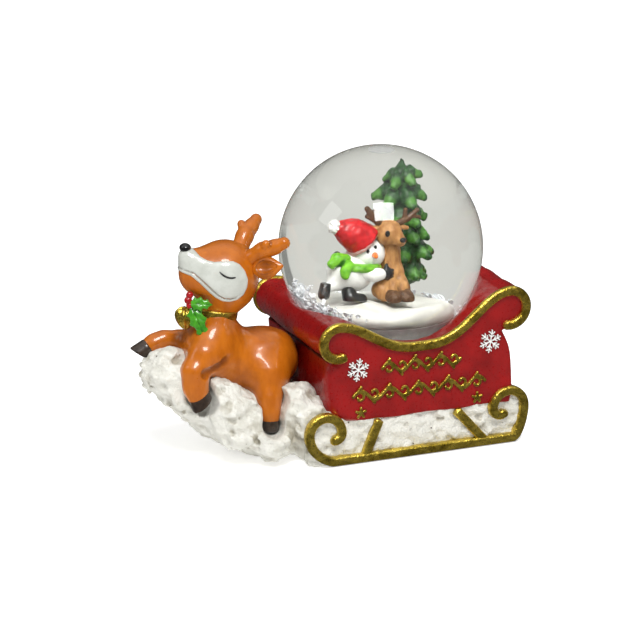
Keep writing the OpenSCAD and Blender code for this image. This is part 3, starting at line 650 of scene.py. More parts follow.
def snow_bank():
    """Cast snow: a drift that rises forward under the reindeer and a low bank under the sleigh."""
    spine = [(-50.6, 19.6, 5.1, 1.15), (-47.2, 17.8, 5.6, 1.35), (-43.2, 14.6, 6.1, 1.6),
             (-38.6, 10.8, 6.6, 1.9),
             (-33.5, 7.8, 7.0, 2.0), (-28.0, 6.8, 7.4, 2.05), (-23.0, 6.6, 6.8, 2.2)]
    lumps = [(-42.6, -7.6, 14.8, 4.2), (-38.0, -9.6, 12.6, 4.4), (-34.6, -10.6, 8.6, 4.6),
             (-25.0, -11.2, 11.4, 5.6),
             (-30.8, -13.2, 5.4, 4.2), (-22.6, -13.0, 9.6, 5.0), (-37.4, -12.4, 7.4, 3.2),
             (-52.0, -1.5, 21.4, 3.2),
             (-49.4, -3.4, 16.4, 3.6), (-42.0, 8.0, 14.4, 4.2), (-36.6, 10.4, 10.6, 4.8),
             (-30.0, 12.2, 7.0, 5.0),
             (-25.0, 11.6, 11.0, 5.4), (-22.8, 13.4, 7.4, 5.2), (-49.6, 3.6, 17.6, 3.6)]
    out = vec(-1.5, -8, 2.5)
    niches = [(vec(-45.6, -8.2, 16.2), 2.8), (vec(-45.0, -8.3, 14.0), 2.5), (vec(-46.0, -8.0, 19.0), 2.6),
              (vec(-29.6, -8.8, 13.6), 2.7), (vec(-30.1, -10.0, 10.6), 1.9), (vec(-30.2, -10.3, 8.0), 2.0)]

    def field(p):
        """A slab, rods and balls blended, rippled at three sizes, less the niches behind the hooves."""
        d = slab(p, vec(1.2, 0, 5.2), vec(25.4, SIDE - 0.55, 6.2), 1.6)
        for (xa, za, ra, wa), (xb, zb, rb, wb) in zip(spine, spine[1:]):
            wide = (wa + wb) / 2
            d = blend(d, bone(squeeze(p, vec(xa, 0, za), wide), vec(xa, 0, za), vec(xb, 0, zb), ra, rb), 2.0)
        for x, y, z, r in lumps:
            d = blend(d, ball(p, vec(x, y, z), r), 1.6)
        d = d - 0.5 * ripples(p, 7.0, 3) - 0.34 * ripples(p, 3.2, 4) - 0.17 * ripples(p, 1.5, 5)
        for q, r in niches:
            for side in (vec(1, 1, 1), vec(1, -1, 1)):
                if side[1] > 0 or q[0] > -35:
                    d = carve(d, bone(p, q * side, (q + out) * side, r, r + 1.2), 0.8)
        d = np.maximum(d, np.abs(p[..., 1]) - (SIDE - 0.25) + 0.2 * ripples(p, 4.0, 9))
        return carve(d, p[..., 2] - 0.02, 0.7)
    sculpt("snow_bank", field, (-57, -19.2, 0), (27, 19.2, 26), 0.42, SNOW, "snow_resin",
           1.2, ("snow_base", "snow_drift"))


# ---- side view lines that the tub and its trim share: rolls at both ends and the dip between them
def polar(centre, r, start, stop, n):
    """Points of a circle from one angle to another; r may run evenly between two radii."""
    a = np.radians(np.linspace(start, stop, n))
    r = np.linspace(*r, n) if isinstance(r, tuple) else r
    return np.stack([centre[0] + r * np.cos(a), centre[1] + r * np.sin(a)], -1)


def bend(a, b, c, n=9):
    """Quadratic curve from a to c that leaves towards b."""
    t = np.linspace(0, 1, n)[:, None]
    return (1 - t) ** 2 * np.array(a) + 2 * t * (1 - t) * np.array(b) + t * t * np.array(c)


FRONT, FRONT_R = vec(-18.0, 27.7), 3.5
REAR, REAR_R = vec(22.4, 31.0), 3.9
SADDLE = vec(1.5, 24.9)
TUB_FRONT, TUB_REAR, TUB_FOOT = tub_low[0] + 3.3, tub_high[0] - 4.8, tub_low[2]


def dip(top, n=22):
    """From the saddle up to a roll: even steps in X, and a rise of ((1 - cos 180 t) / 2) ^ 1.5."""
    t = np.linspace(0, 1, n)
    rise = ((1 - np.cos(pi * t)) / 2) ** 1.5
    return np.stack([SADDLE[0] + (top[0] - SADDLE[0]) * t, SADDLE[1] + (top[1] - SADDLE[1]) * rise], -1)


def trim_line():
    """Front roll, dip and rear roll: two arcs joined by the two halves of the dip."""
    front = polar(FRONT, FRONT_R, -58, -270, 32)
    rear = polar(REAR, REAR_R, 90, -114, 32)
    return np.concatenate([front[:-1], dip(front[-1])[::-1], dip(rear[0])[1:-1], rear])


def tub_line():
    """The trim's line moved out by over, closed by the two curved end boards."""
    over = 0.7
    front = polar(FRONT, FRONT_R + over, -100, -262, 30)
    rear = polar(REAR, REAR_R + over, 82, -88, 30)
    top = np.concatenate([dip(FRONT + (0, FRONT_R))[::-1][2:], dip(REAR + (0, REAR_R))[1:-2]]) + (0, over)
    back = bend((TUB_REAR - 1.4, REAR[1] - REAR_R - 1.2), (TUB_REAR + 2.6, TUB_FOOT + 10),
                (TUB_REAR + 0.5, TUB_FOOT))
    nose = bend((TUB_FRONT - 0.6, TUB_FOOT), (TUB_FRONT - 2.0, TUB_FOOT + 8),
                (TUB_FRONT - 0.8, FRONT[1] - FRONT_R - 1.2))
    return np.concatenate([front, top, rear, back, nose])


def tub():
    """The sleigh's tub: its side line across the width with soft edges, and a round pocket for the globe."""
    flat = outline_field(tub_line())

    def field(p):
        """The side line as a rounded slab, rippled, less the globe's ball and the well of its neck."""
        soft = np.clip((-12 - p[..., 0]) / 6, 0, 1) * np.clip((25.5 - p[..., 2]) / 4, 0, 1)
        d = rounded_slab(flat(p), np.abs(p[..., 1]) - SIDE, 0.7 + 2.6 * soft)
        d = d - 0.13 * ripples(p, 9.0, 11) - 0.04 * ripples(p, 3.2, 12)
        d = np.maximum(d, np.abs(p[..., 1]) - SIDE - 0.02)
        d = carve(d, ball(p, BALL, BALL_R + 0.12), 0.9)
        well = np.maximum(length(p[..., :2]) - NECK_OUT - 0.2, 21.8 - p[..., 2])
        return np.maximum(d, -well)
    sculpt("tub", field, tub_low - 0.5, tub_high + 0.5, 0.4, RED, "red_paint", 1.0, ("sleigh_tub",))


def oval(wide, high, n=20, square=0.75):
    """Section: a superellipse, cos and sin each raised to the power square with their signs kept."""
    a = np.linspace(0, 2 * pi, n, endpoint=False)
    return np.stack([wide * np.sign(np.cos(a)) * np.abs(np.cos(a)) ** square,
                     high * np.sign(np.sin(a)) * np.abs(np.sin(a)) ** square], -1)


def stand(line, y):
    """A side view line stood up at a distance from the middle."""
    return np.stack([line[:, 0], np.full(len(line), y), line[:, 1]], -1)


def dense(line, step=0.3):
    """A line's points set again at even steps along it."""
    run = np.concatenate([[0], np.cumsum(length(np.diff(line, axis=0)))])
    at = np.linspace(0, run[-1], max(int(run[-1] / step), 4))
    return np.stack([np.interp(at, run, line[:, k]) for k in range(line.shape[1])], -1)


def metalwork(side):
    """Trim round the tub's edge, runner with a scroll at each end, and two struts."""
    word = SIDES[side]
    sweep("trim_" + word, [stand(dense(trim_line()), side * (SIDE + 0.15))], (0, 1, 0), oval(0.85, 1.08),
          GOLD,
          "gold_paint", ("trim_" + word,), 0.9)
    front, rear, r, low = vec(-20.95, 7.45), vec(22.5, 8.25), 3.75, 1.07
    line = np.concatenate([
        polar(front + (2.0, 0), (1.6, 1.75), -120, 0, 30), polar(front, r, 0, 180, 40)[1:],
        bend(front - (r, 0.8), (front[0] - 3, 2.6), (front[0] + 1.6, low), 16),
        bend((rear[0] + 1.4, low), (rear[0] + 3.2, 2.8), rear + (r, -0.8), 16),
        polar(rear, r, 0, 180, 40), polar(rear - (2.0, 0), (1.75, 1.6), 180, 335, 30)[1:]])
    sweep("runner_" + word, [stand(dense(line), side * 19.0)], (0, 1, 0), oval(1.1, 1.07, square=0.6), GOLD,
          "gold_paint", ("runner_" + word,), 0.9)
    for name, foot, head in (("front", (-11.8, 1.0), (-8.3, 9.4)), ("rear", (17.0, 1.0), (9.8, 9.1))):
        line = stand(np.linspace(foot, head, 24), side * 18.95)
        node = f"strut_{name}_{word}"
        sweep(node, [line], (0, 1, 0), oval(0.95, 1.05, square=0.6), GOLD, "gold_paint", (node,), 0.4)


def strokes_field(paths, half, step=0.09, margin=1.2):
    """Distance to drawn strokes in X and Z, less each path's half width, and the corners of its table."""
    every = np.concatenate(paths)
    low, high = every.min(0) - margin, every.max(0) + margin
    q = flat_grid(low, high, step)
    table = np.full(q.shape[:2], 9.0)
    for path, w in zip(paths, half):
        for a, b in zip(path, path[1:]):
            table = np.minimum(table, off_line(q, a, b) - w)
    return reader(table, low, step), low, high


def relief(name, paths, half, side, proud, paint, slot, cell):
    """Rounded strokes that stand proud of the tub's side."""
    flat, low, high = strokes_field(paths, half)

    def field(p):
        """The strokes as a slab with rounded edges that straddles the tub's side."""
        return rounded_slab(flat(p), np.abs(p[..., 1] - side * SIDE) - proud, 0.24)
    y = sorted((side * (SIDE - proud), side * (SIDE + proud)))
    sculpt(name, field, (low[0], y[0], low[1]), (high[0], y[1], high[1]), cell, paint, slot, 0.4)


def six_arms(centre, r):
    """A snow crystal's strokes: six arms, each with two pairs of barbs."""
    lines = []
    for k in range(6):
        way = pi / 6 - 0.17 + k * pi / 3
        arm = vec(cos(way), sin(way))
        lines.append(np.array([centre, centre + r * arm]))
        for at, barb in ((0.40, 0.28), (0.66, 0.30)):
            for turn in (-1, 1):
                out = vec(cos(way + turn * 0.9), sin(way + turn * 0.9))
                lines.append(np.array([centre + at * r * arm, centre + r * (at * arm + barb * out)]))
    return lines


def curl(start, heading, r, hand):
    """A tendril: a spiral that leaves the stem along heading and tightens by three quarters of a turn."""
    a = np.linspace(0, 1.55 * pi, 16)
    shrink = 1 - 0.62 * a / a[-1]
    side = vec(-sin(heading), cos(heading)) * hand
    centre = np.asarray(start) + r * side
    back = heading - hand * pi / 2
    return np.stack([centre[0] + r * shrink * np.cos(back + hand * a),
                     centre[1] + r * shrink * np.sin(back + hand * a)], -1)


def vine(x0, x1, z, rise, count):
    """A waving stem with a tendril at each crest: z + rise sin(count pi t)."""
    t = np.linspace(0, 1, 70)
    stem = np.stack([x0 + (x1 - x0) * t, z + rise * np.sin(count * pi * t)], -1)
    lines, widths = [stem], [0.38]
    for k in range(count):
        at = (k + 0.30) / count
        i = int(at * 69)
        heading = np.arctan2(*(stem[i + 1] - stem[i])[::-1])
        hand = 1 if k % 2 else -1
        lines.append(curl(stem[i], heading, 1.25, hand))
        widths.append(0.3)
        tip = stem[i] + vec(0.9, -hand * 1.15)
        lines.append(np.array([stem[i] + vec(0.25, -hand * 0.3), tip]))
        widths.append(0.34)
    return lines, widths


def star(centre, r):
    """Five strokes from a centre, a fifth of a turn apart."""
    return [np.array([centre, centre + r * vec(cos(a), sin(a))])
            for a in np.radians([90, 162, 234, 306, 18])]


def ornaments(side):
    """Two snow crystals, two rows of curls and two small stars on one side of the tub."""
    word = SIDES[side]
    flakes = six_arms(vec(-13.5, 21.2), 2.5) + six_arms(vec(17.8, 23.9), 2.5)
    relief("snowflakes_" + word, flakes, [0.15] * len(flakes), side, 0.45, WHITE, "white_paint",
           0.15)
    upper, upper_w = vine(-7.8, 10.6, 20.9, 1.1, 6)
    lower, lower_w = vine(-14.6, 16.6, 15.2, 1.15, 9)
    stars = star(vec(-12.8, 11.4), 1.1) + star(vec(14.8, 11.4), 1.1)
    relief("ornament_" + word, upper + lower + stars, upper_w + lower_w + [0.3] * len(stars), side, 0.45,
           GOLD,
           "gold_paint", 0.16)


# ================================================================ the reindeer
def mirror(p, side):
    """Space in which a form made on the near side (y < 0) appears on the given side."""
    return p * vec(1, -side, 1)


NECK_LOW, NECK_TOP = vec(-39.6, 0, 25.0), vec(-38.3, 0, 33.4)
SKULL = HEAD + vec(0.2, 0, 0.1)
NEAR_FORELEG = [vec(-41.0, -4.2, 27.6), vec(-43.8, -6.6, 24.6), vec(-46.6, -7.8, 21.4),
                vec(-46.6, -8.1, 18.2),
                vec(-46.1, -8.2, 16.2)]
FAR_FORELEG = [vec(-42.0, 3.4, 24.2), vec(-45.7, 4.8, 24.7), vec(-49.0, 5.0, 25.2), vec(-51.2, 5.1, 24.5),
               vec(-52.5, 5.2, 23.8)]
NEAR_HIND = [vec(-28.0, -2.8, 21.0), vec(-29.0, -5.6, 17.6), vec(-29.9, -8.6, 13.6), vec(-30.1, -9.9, 10.8),
             vec(-30.1, -10.2, 9.3)]
ARMPIT = [vec(-45.0, -10.9, 21.6), vec(-42.2, -9.8, 22.3), vec(-40.0, -9.0, 23.3), vec(-38.0, -8.2, 24.2)]


def coat_field(p):
    """Trunk, neck and legs as rods with round ends, blended, with a crease under the near shoulder."""
    d = limb(p, [vec(-26.6, 0, 19.9), vec(-33.0, 0, 19.9), vec(-39.0, 0, 21.0)], [6.6, 6.5, 6.9], 3.0)
    d = blend(d, bone(p, vec(-39.6, 0, 23.4), NECK_TOP - vec(0.3, 0, 1.6), 6.2, 3.8), 4.5)
    d = blend(d, bone(p, NEAR_FORELEG[0], NEAR_FORELEG[1], 3.4, 3.4), 5.0)
    d = blend(d, limb(p, NEAR_FORELEG[1:], [3.3, 2.85, 2.5, 2.35], 1.5), 1.2)
    d = blend(d, limb(p, FAR_FORELEG, [3.0, 2.1, 1.85, 1.9, 1.85], 1.5), 2.0)
    hind = [4.7, 4.3, 2.5, 1.75, 1.6]
    d = blend(d, limb(p, NEAR_HIND, hind, 2.0), 2.6)
    d = blend(d, limb(mirror(p, RIGHT), NEAR_HIND, hind, 2.0), 2.6)
    d = carve(d, limb(p, ARMPIT, [1.1, 0.8, 0.5, 0.15]), 0.7)
    return d - 0.07 * ripples(p, 5.0, 21)


def head_field(p):
    """A ball blended with a cheek rod, two muzzle rods and a neck rod."""
    d = ball(p, SKULL, HEAD_R - 0.15)
    d = blend(d, bone(p, vec(-41.9, 0, 41.2), vec(-42.6, 0, 40.6), 4.4, 4.3), 2.5)
    d = blend(d, limb(p, [vec(-39.5, 0, 41.6), vec(-43.2, 0, 43.0), vec(-45.1, 0, 44.9)], [4.6, 2.65, 1.75],
                      1.5), 2.0)
    d = blend(d, bone(p, NECK_TOP - vec(0.4, 0, 1.2), vec(-36.6, 0, 36.4), 3.9, 5.4), 2.5)
    return d


MASK = [(-49.0, 45.6), (-48.0, 49.0), (-44.7, 48.6), (-44.0, 46.9), (-43.2, 45.5), (-42.1, 44.8),
        (-40.7, 44.5),
        (-38.6, 44.7), (-36.9, 44.6), (-35.6, 43.9), (-34.5, 42.4), (-33.9, 40.4), (-34.1, 38.6),
        (-34.9, 37.0),
        (-36.2, 36.0), (-37.8, 35.6), (-39.4, 35.8), (-40.9, 36.7), (-42.1, 37.9), (-43.2, 39.1),
        (-44.4, 40.4),
        (-45.6, 41.5), (-48.8, 42.3)]


def on_head(x, z, side, proud):
    """Point of the head's surface at a place in the side view, moved out by proud."""
    y = np.full(len(x), side * 7.0)
    for _ in range(25):
        p = np.stack([x, y, z], -1)
        h = 0.02
        slope = (head_field(p + vec(0, h, 0)) - head_field(p - vec(0, h, 0))) / (2 * h)
        y = y - np.clip((head_field(p) - proud) / np.where(np.abs(slope) < 0.2, side * 0.2, slope), -1, 1)
    return np.stack([x, y, z], -1)


def hoof_field(p, top, sole, r_top, r_sole, tread):
    """A cone from top to sole, cut off flat across the top and along the tread, with soft rims."""
    way = (sole - top) / length(sole - top)
    d = bone(p, top - way, sole + 1.5 * way, r_top, r_sole)
    d = carve(d, -((p - sole) @ (tread / length(tread))), 0.35)
    return carve(d, (p - top) @ way, 0.35)


def leaf_frame(p, root, tip, facing):
    """Coordinates along a leaf, across it and off its face, packed as X, Z and Y."""
    way = (tip - root) / length(tip - root)
    off = facing - (facing @ way) * way
    off = off / length(off)
    q = p - root
    return np.stack([q @ way, q @ off, q @ np.cross(way, off)], -1)


def ear_field(p):
    """A leaf-shaped ear with a scooped front, on the near side."""
    q = leaf_frame(p, vec(-32.4, -5.2, 42.0), vec(-27.3, -10.0, 43.5), vec(-0.55, -0.75, 0.35))
    s = np.clip(q[..., 0] / 7.4, -0.2, 1.2)
    width = 0.55 + 0.75 * np.sin(pi * np.clip(s, 0, 1) ** 0.8)
    r = q / np.stack([np.ones_like(s), width, width], -1)
    d = egg(r, vec(3.6, 0, 0), vec(3.9, 1.25, 2.0))
    scoop = egg(r, vec(4.0, 1.25, 0), vec(2.5, 1.15, 1.15))
    return carve(d, scoop, 0.3) * 0.8


def antler_field(p, lift):
    """One antler on the near side: a thick stem that forks into a long and a short prong, raised by lift."""
    root, fork, up = vec(-31.9, -3.6, 44.0), vec(-29.8, -5.5, 46.2), vec(0, 0, lift)
    d = limb(p, [root, fork + 0.5 * up, vec(-27.8, -7.1, 47.4) + 0.8 * up, vec(-26.1, -8.3, 48.5) + up],
             [2.0, 1.75, 1.45, 1.3], 1.2)
    return blend(d, bone(p, fork + 0.5 * up, vec(-29.9, -7.3, 48.3) + 0.7 * up, 1.2, 0.9), 0.3)


def reindeer():
    """The lying reindeer: coat, head, mask, nose, lashes, antlers, ears, hooves, collar and bell."""
    sculpt("deer_coat", coat_field, (-54.9, -12.6, 6.6), (-18.9, 12.6, 34.4), 0.38, BROWN, "fur_paint", 1.4,
           ("deer_body", "foreleg_left", "foreleg_right", "hind_leg_left", "hind_leg_right"))
    sculpt("deer_head", head_field, (-47.4, -8.2, 31), (-28.8, 8.2, 48.4), 0.34, BROWN, "fur_paint", 1.2)
    flat = outline_field(MASK)

    def mask_field(p):
        """The head moved out a little within the mask's outline, with a groove near its lower edge."""
        skin_off = head_field(p)
        low = np.clip((43.6 - p[..., 2]) / 1.5, 0, 1) * np.clip((-35.6 - p[..., 0]) / 1.5, 0, 1)
        d = skin_off - 0.25 + 0.30 * low * np.exp(-np.square((flat(p) + 0.8) / 0.17))
        return np.maximum(carve(d, -flat(p), 0.45), -(skin_off + 0.7))
    sculpt("deer_face", mask_field, (-47.8, -8.5, 35), (-33, 8.5, 48.4), 0.24, FACE, "face_paint", 0.5)

    nose = vec(-45.6, 0, 46.95)
    sculpt("deer_nose", lambda p: egg(p, nose, vec(1.25, 1.4, 0.95)), nose - 2, nose + 2, 0.16, BLACK,
           "black_paint", 0.5)
    lines = []
    for side in (LEFT, RIGHT):
        lash = bend((-40.2, 42.7), (-39.0, 41.0), (-36.9, 41.4), 26)
        lines.append(on_head(lash[:, 0], lash[:, 1], side, 0.26))
    sweep("deer_lashes", lines, (0, 1, 0), oval(0.2, 0.2, 8, 1.0), BLACK, "black_paint", ("deer_lashes",),
          0.9)

    for side in (LEFT, RIGHT):
        word = SIDES[side]
        near, far = sorted((side * 1.2, side * 10.2))
        low, high = vec(-35.5, near, 41.6), vec(-24.2, far, 51.4)
        sculpt("antler_" + word, lambda p, s=side: antler_field(mirror(p, s), 0.5 * s), low, high, 0.25,
               BROWN, "fur_paint",
               0.8)
        near, far = sorted((side * 3.8, side * 11.8))
        low, high = vec(-34, near, 38.8), vec(-25, far, 46.4)
        sculpt("ear_" + word, lambda p, s=side: ear_field(mirror(p, s)), low, high, 0.22, BROWN, "fur_paint",
               0.8)

    def hooves(p):
        """The least of four cut cones."""
        d = hoof_field(p, vec(-46.1, -8.15, 16.5), vec(-45.1, -8.3, 13.9), 2.55, 2.45, vec(0.62, 0, -0.8))
        d = np.minimum(d, hoof_field(p, vec(-52.3, 5.1, 23.9), vec(-54.6, 5.3, 22.5), 2.15, 2.3,
                                     vec(-0.57, 0, -0.82)))
        for side in (LEFT, RIGHT):
            q = mirror(p, side)
            d = np.minimum(d, hoof_field(q, vec(-30.1, -10.2, 9.9), vec(-30.2, -10.4, 6.8), 1.8, 1.85,
                                         vec(0, 0, -1)))
        return d
    sculpt("deer_hooves", hooves, (-58.0, -12.8, 5.8), (-27.5, 12.8, 26.6), 0.3, HOOF, "hoof_paint", 0.6)

    axis = (NECK_TOP - NECK_LOW) / length(NECK_TOP - NECK_LOW)
    centre = vec(-39.0, 0, 31.9)

    def collar(p):
        """A band round the neck's axis: a rounded box in radius and height."""
        q = p - centre
        h = q @ axis
        r = length(q - h[..., None] * axis)
        return rounded_slab(np.abs(r - 4.3) - 0.7, np.abs(h) - 1.07, 0.35)
    sculpt("collar", collar, (-44.6, -5.8, 29.6), (-32.6, 5.8, 33.8), 0.26, GOLD, "gold_paint", 0.5)

    bell = vec(-46.4, -1.7, 31.7)

    def bell_field(p):
        """An ellipsoid that widens upwards, with nine soft ribs and a slot below."""
        q = p - bell
        turn = np.arctan2(q[..., 1], q[..., 0])
        taper = np.clip(1 + 0.13 * q[..., 2:], 0.5, 1.4)
        d = 0.85 * egg(q / np.concatenate([taper, taper, np.ones_like(taper)], -1), 0 * bell,
                       vec(2.05, 2.05, 2.5))
        d = d - 0.12 * np.cos(9 * turn)
        return carve(d, slab(p, bell - vec(0, 0, 2.2), vec(1.7, 0.22, 0.9), 0.15), 0.2)
    sculpt("collar_bell", bell_field, bell - 3.2, bell + 3.6, 0.18, BELL_GOLD, "bell_gold", 0.5)


LEAF_EDGE = [(0, 0.3), (0.08, 0.5), (0.16, 1.0), (0.24, 0.72), (0.34, 0.8), (0.44, 1.05), (0.54, 0.62),
             (0.64, 0.55),
             (0.74, 0.72), (0.82, 0.3), (1.0, 0.0)]


def holly():
    """Two holly leaves with prickly edges and a sunk midrib, and three berries."""
    leaves = [(vec(-45.6, -4.0, 34.7), vec(-43.3, -6.1, 27.7), vec(-0.35, -0.9, 0.1), 1.95),
              (vec(-45.9, -3.8, 35.5), vec(-41.4, -5.5, 35.2), vec(-0.3, -0.9, 0.3), 1.6)]

    def field(p):
        """Each leaf is a rounded slab on an arched face, with a midrib and veins."""
        d = np.full(p.shape[:-1], 50.0)
        for root, tip, facing, wide in leaves:
            long = length(tip - root)
            edge = [(a * long, b * wide) for a, b in LEAF_EDGE]
            flat = outline_field(edge + [(x, -w) for x, w in edge[-2::-1]], 0.06, 1.5)
            q = leaf_frame(p, root, tip, facing)
            bulge = 0.55 * np.sin(pi * np.clip(q[..., 0] / long, 0, 1)) - 0.10 * np.square(q[..., 2])
            veins = 0.08 * np.cos(3.2 * (q[..., 0] - 1.1 * np.abs(q[..., 2])))
            ridge = 0.22 * np.exp(-np.square(q[..., 2] / 0.22)) + veins
            d = np.minimum(d, rounded_slab(flat(q), np.abs(q[..., 1] - bulge + ridge) - 0.36, 0.2))
        return d * 0.8
    sculpt("holly_leaves", field, (-48.4, -8, 27.0), (-40.2, -2, 38), 0.18, LEAF, "leaf_paint", 0.4)

    def berries(p):
        """The least of three balls."""
        return np.minimum(np.minimum(ball(p, vec(-46.2, -3.1, 36.1), 0.85),
                                     ball(p, vec(-45.8, -3.0, 37.2), 0.8)),
                          ball(p, vec(-45.9, -3.3, 35.0), 0.8))
    sculpt("holly_berries", berries, (-48.4, -5.4, 33.6), (-43.8, -1.4, 38.6), 0.16, BERRY, "berry_paint",
           0.4)


# ================================================================ the globe
def globe():
    """Glass ball with an open neck, and the liquid that fills it up to a small bubble."""
    a = np.linspace(0, pi, 120)
    up = np.stack([BALL_R * np.sin(a), BALL[2] - BALL_R * np.cos(a)], -1)
    outer = up[up[:, 1] > BALL[2] - sqrt(BALL_R ** 2 - NECK_OUT ** 2)][:-1]
    down = np.stack([BALL_IN * np.sin(a), BALL[2] + BALL_IN * np.cos(a)], -1)
    inner = down[down[:, 1] > BALL[2] - sqrt(BALL_IN ** 2 - NECK_IN ** 2)][1:]
    small = 0.02
    profile = np.concatenate([[(NECK_OUT, NECK_Z)], outer, [(small, outer[-1, 1])], [(small, inner[0, 1])],
                              inner,
                              [(NECK_IN, NECK_Z + SHOULDER), (NECK_IN, NECK_Z)], [(NECK_OUT, NECK_Z)]])
    verts, faces = lathe(profile, 160)
    piece = mesh("glass_globe", verts, faces, GLASS)
    piece.data.materials.append(INNER.material)
    mid = verts[faces].mean(1)
    r = length(mid - BALL)
    wet = (r < BALL_IN + 0.3) & (mid[:, 2] < WATER_TOP) & (mid[:, 2] > NECK_Z + SHOULDER + 0.1)
    piece.data.polygons.foreach_set("material_index", wet.astype(np.int32))
    outward(piece, weld=True)
    declare(piece, "clear_glass", "glass_globe")

    r_wet = BALL_IN - 0.01
    ring = sqrt(r_wet ** 2 - (WATER_TOP - BALL[2]) ** 2)
    foot = sqrt(r_wet ** 2 - (STOPPER_TOP - BALL[2]) ** 2)
    a = np.linspace(np.arctan2(foot, -(STOPPER_TOP - BALL[2])), pi - np.arctan2(ring, WATER_TOP - BALL[2]),
                    110)
    side = np.stack([r_wet * np.sin(a), BALL[2] - r_wet * np.cos(a)], -1)
    profile = np.concatenate([[(small, STOPPER_TOP), (foot * 0.5, STOPPER_TOP)], side,
                              [(ring * 0.5, WATER_TOP), (small, WATER_TOP)]])
    verts, faces = lathe(profile, 160)
    piece = mesh("liquid", verts, faces, WET_WALL)
    piece.data.materials.append(WATER.material)
    piece.data.materials.append(INNER.material)
    mid = verts[faces].mean(1)
    flat_top = mid[:, 2] > WATER_TOP - 0.001
    flat_foot = mid[:, 2] < STOPPER_TOP + 0.001
    piece.data.polygons.foreach_set("material_index", (flat_top + 2 * flat_foot).astype(np.int32))
    outward(piece, weld=True)
    declare(piece, "clear_liquid", "liquid")


def mound():
    """A low cushion of snow with a rounded edge, a little to the left of the middle."""
    def field(p):
        """A round slab with a rounded edge and a rippled, slightly domed top, kept inside the glass."""
        q = p - vec(-1.3, 0.3, 0)
        a = length(q[..., :2]) - 13.1
        top = MOUND_TOP - 0.25 + 0.35 * ripples(p, 12.0, 31) - 0.012 * np.square(length(q[..., :2])) / 2
        b = np.maximum(p[..., 2] - top, STOPPER_TOP + 0.02 - p[..., 2])
        d = rounded_slab(a, b, 2.2) - 0.10 * ripples(p, 4.0, 32)
        return np.maximum(d, ball(p, BALL, BALL_IN - 0.5))
    sculpt("snow_mound", field, (-17.5, -15.5, STOPPER_TOP), (14.5, 15.8, MOUND_TOP + 0.5), 0.34, MOUND,
           "mound_white", 1.0)


def flakes():
    """Loose glitter: small six-sided plates heaped on the left and round the rim, each tipped at random."""
    dice = np.random.default_rng(7)
    count = 900
    turn = np.concatenate([dice.normal(radians(176), radians(24), 680),
                           dice.uniform(radians(-20), radians(150), 220)])
    heap = np.exp(-np.square((turn - radians(172)) / radians(30)))
    r = 14.2 + 3.4 * dice.random(count) * (0.4 + 0.6 * heap) - 2.2 * heap * dice.random(count)
    z = 30.6 + dice.random(count) * (1.6 + 5.2 * heap * dice.random(count))
    limit = np.sqrt(np.maximum((BALL_IN - 1.0) ** 2 - np.square(z - BALL[2]), 1))
    r = np.minimum(r, limit)
    centre = np.stack([r * np.cos(turn) - 0.3, r * np.sin(turn), z], -1)
    u = dice.normal(size=(count, 3))
    u /= length(u)[:, None]
    v = np.cross(u, dice.normal(size=(count, 3)))
    v /= length(v)[:, None]
    n = np.cross(u, v)
    size = dice.uniform(0.3, 0.55, count)
    a = np.arange(6) * pi / 3
    round_u, round_v = np.cos(a)[None, :, None] * u[:, None], np.sin(a)[None, :, None] * v[:, None]
    disc = size[:, None, None] * (round_u + round_v)
    thick = 0.05 * n[:, None]
    verts = np.concatenate([centre[:, None] + disc + thick, centre[:, None] + disc - thick], 1)
    verts = verts[length(verts - BALL).max(1) < BALL_IN - 0.25]  # only those clear of the glass
    count = len(verts)
    rims = [(k, 6 + k, 6 + (k + 1) % 6, (k + 1) % 6) for k in range(6)]
    one = [(0, 1, 2, 3), (0, 3, 4, 5), (6, 9, 8, 7), (6, 11, 10, 9)] + rims
    faces = (np.arange(count)[:, None, None] * 12 + np.array(one)).reshape(-1, 4)
    declare(mesh("loose_flakes", verts.reshape(-1, 3), faces, FLAKE, smooth=False), "flake", "loose_flakes")


TREE = vec(5.4, 4.4, 0)
TIERS = [(51.6, 3.4, 5), (48.6, 4.6, 6), (45.0, 4.3, 6), (42.0, 4.6, 7), (39.2, 4.8, 7), (36.2, 4.2, 7)]


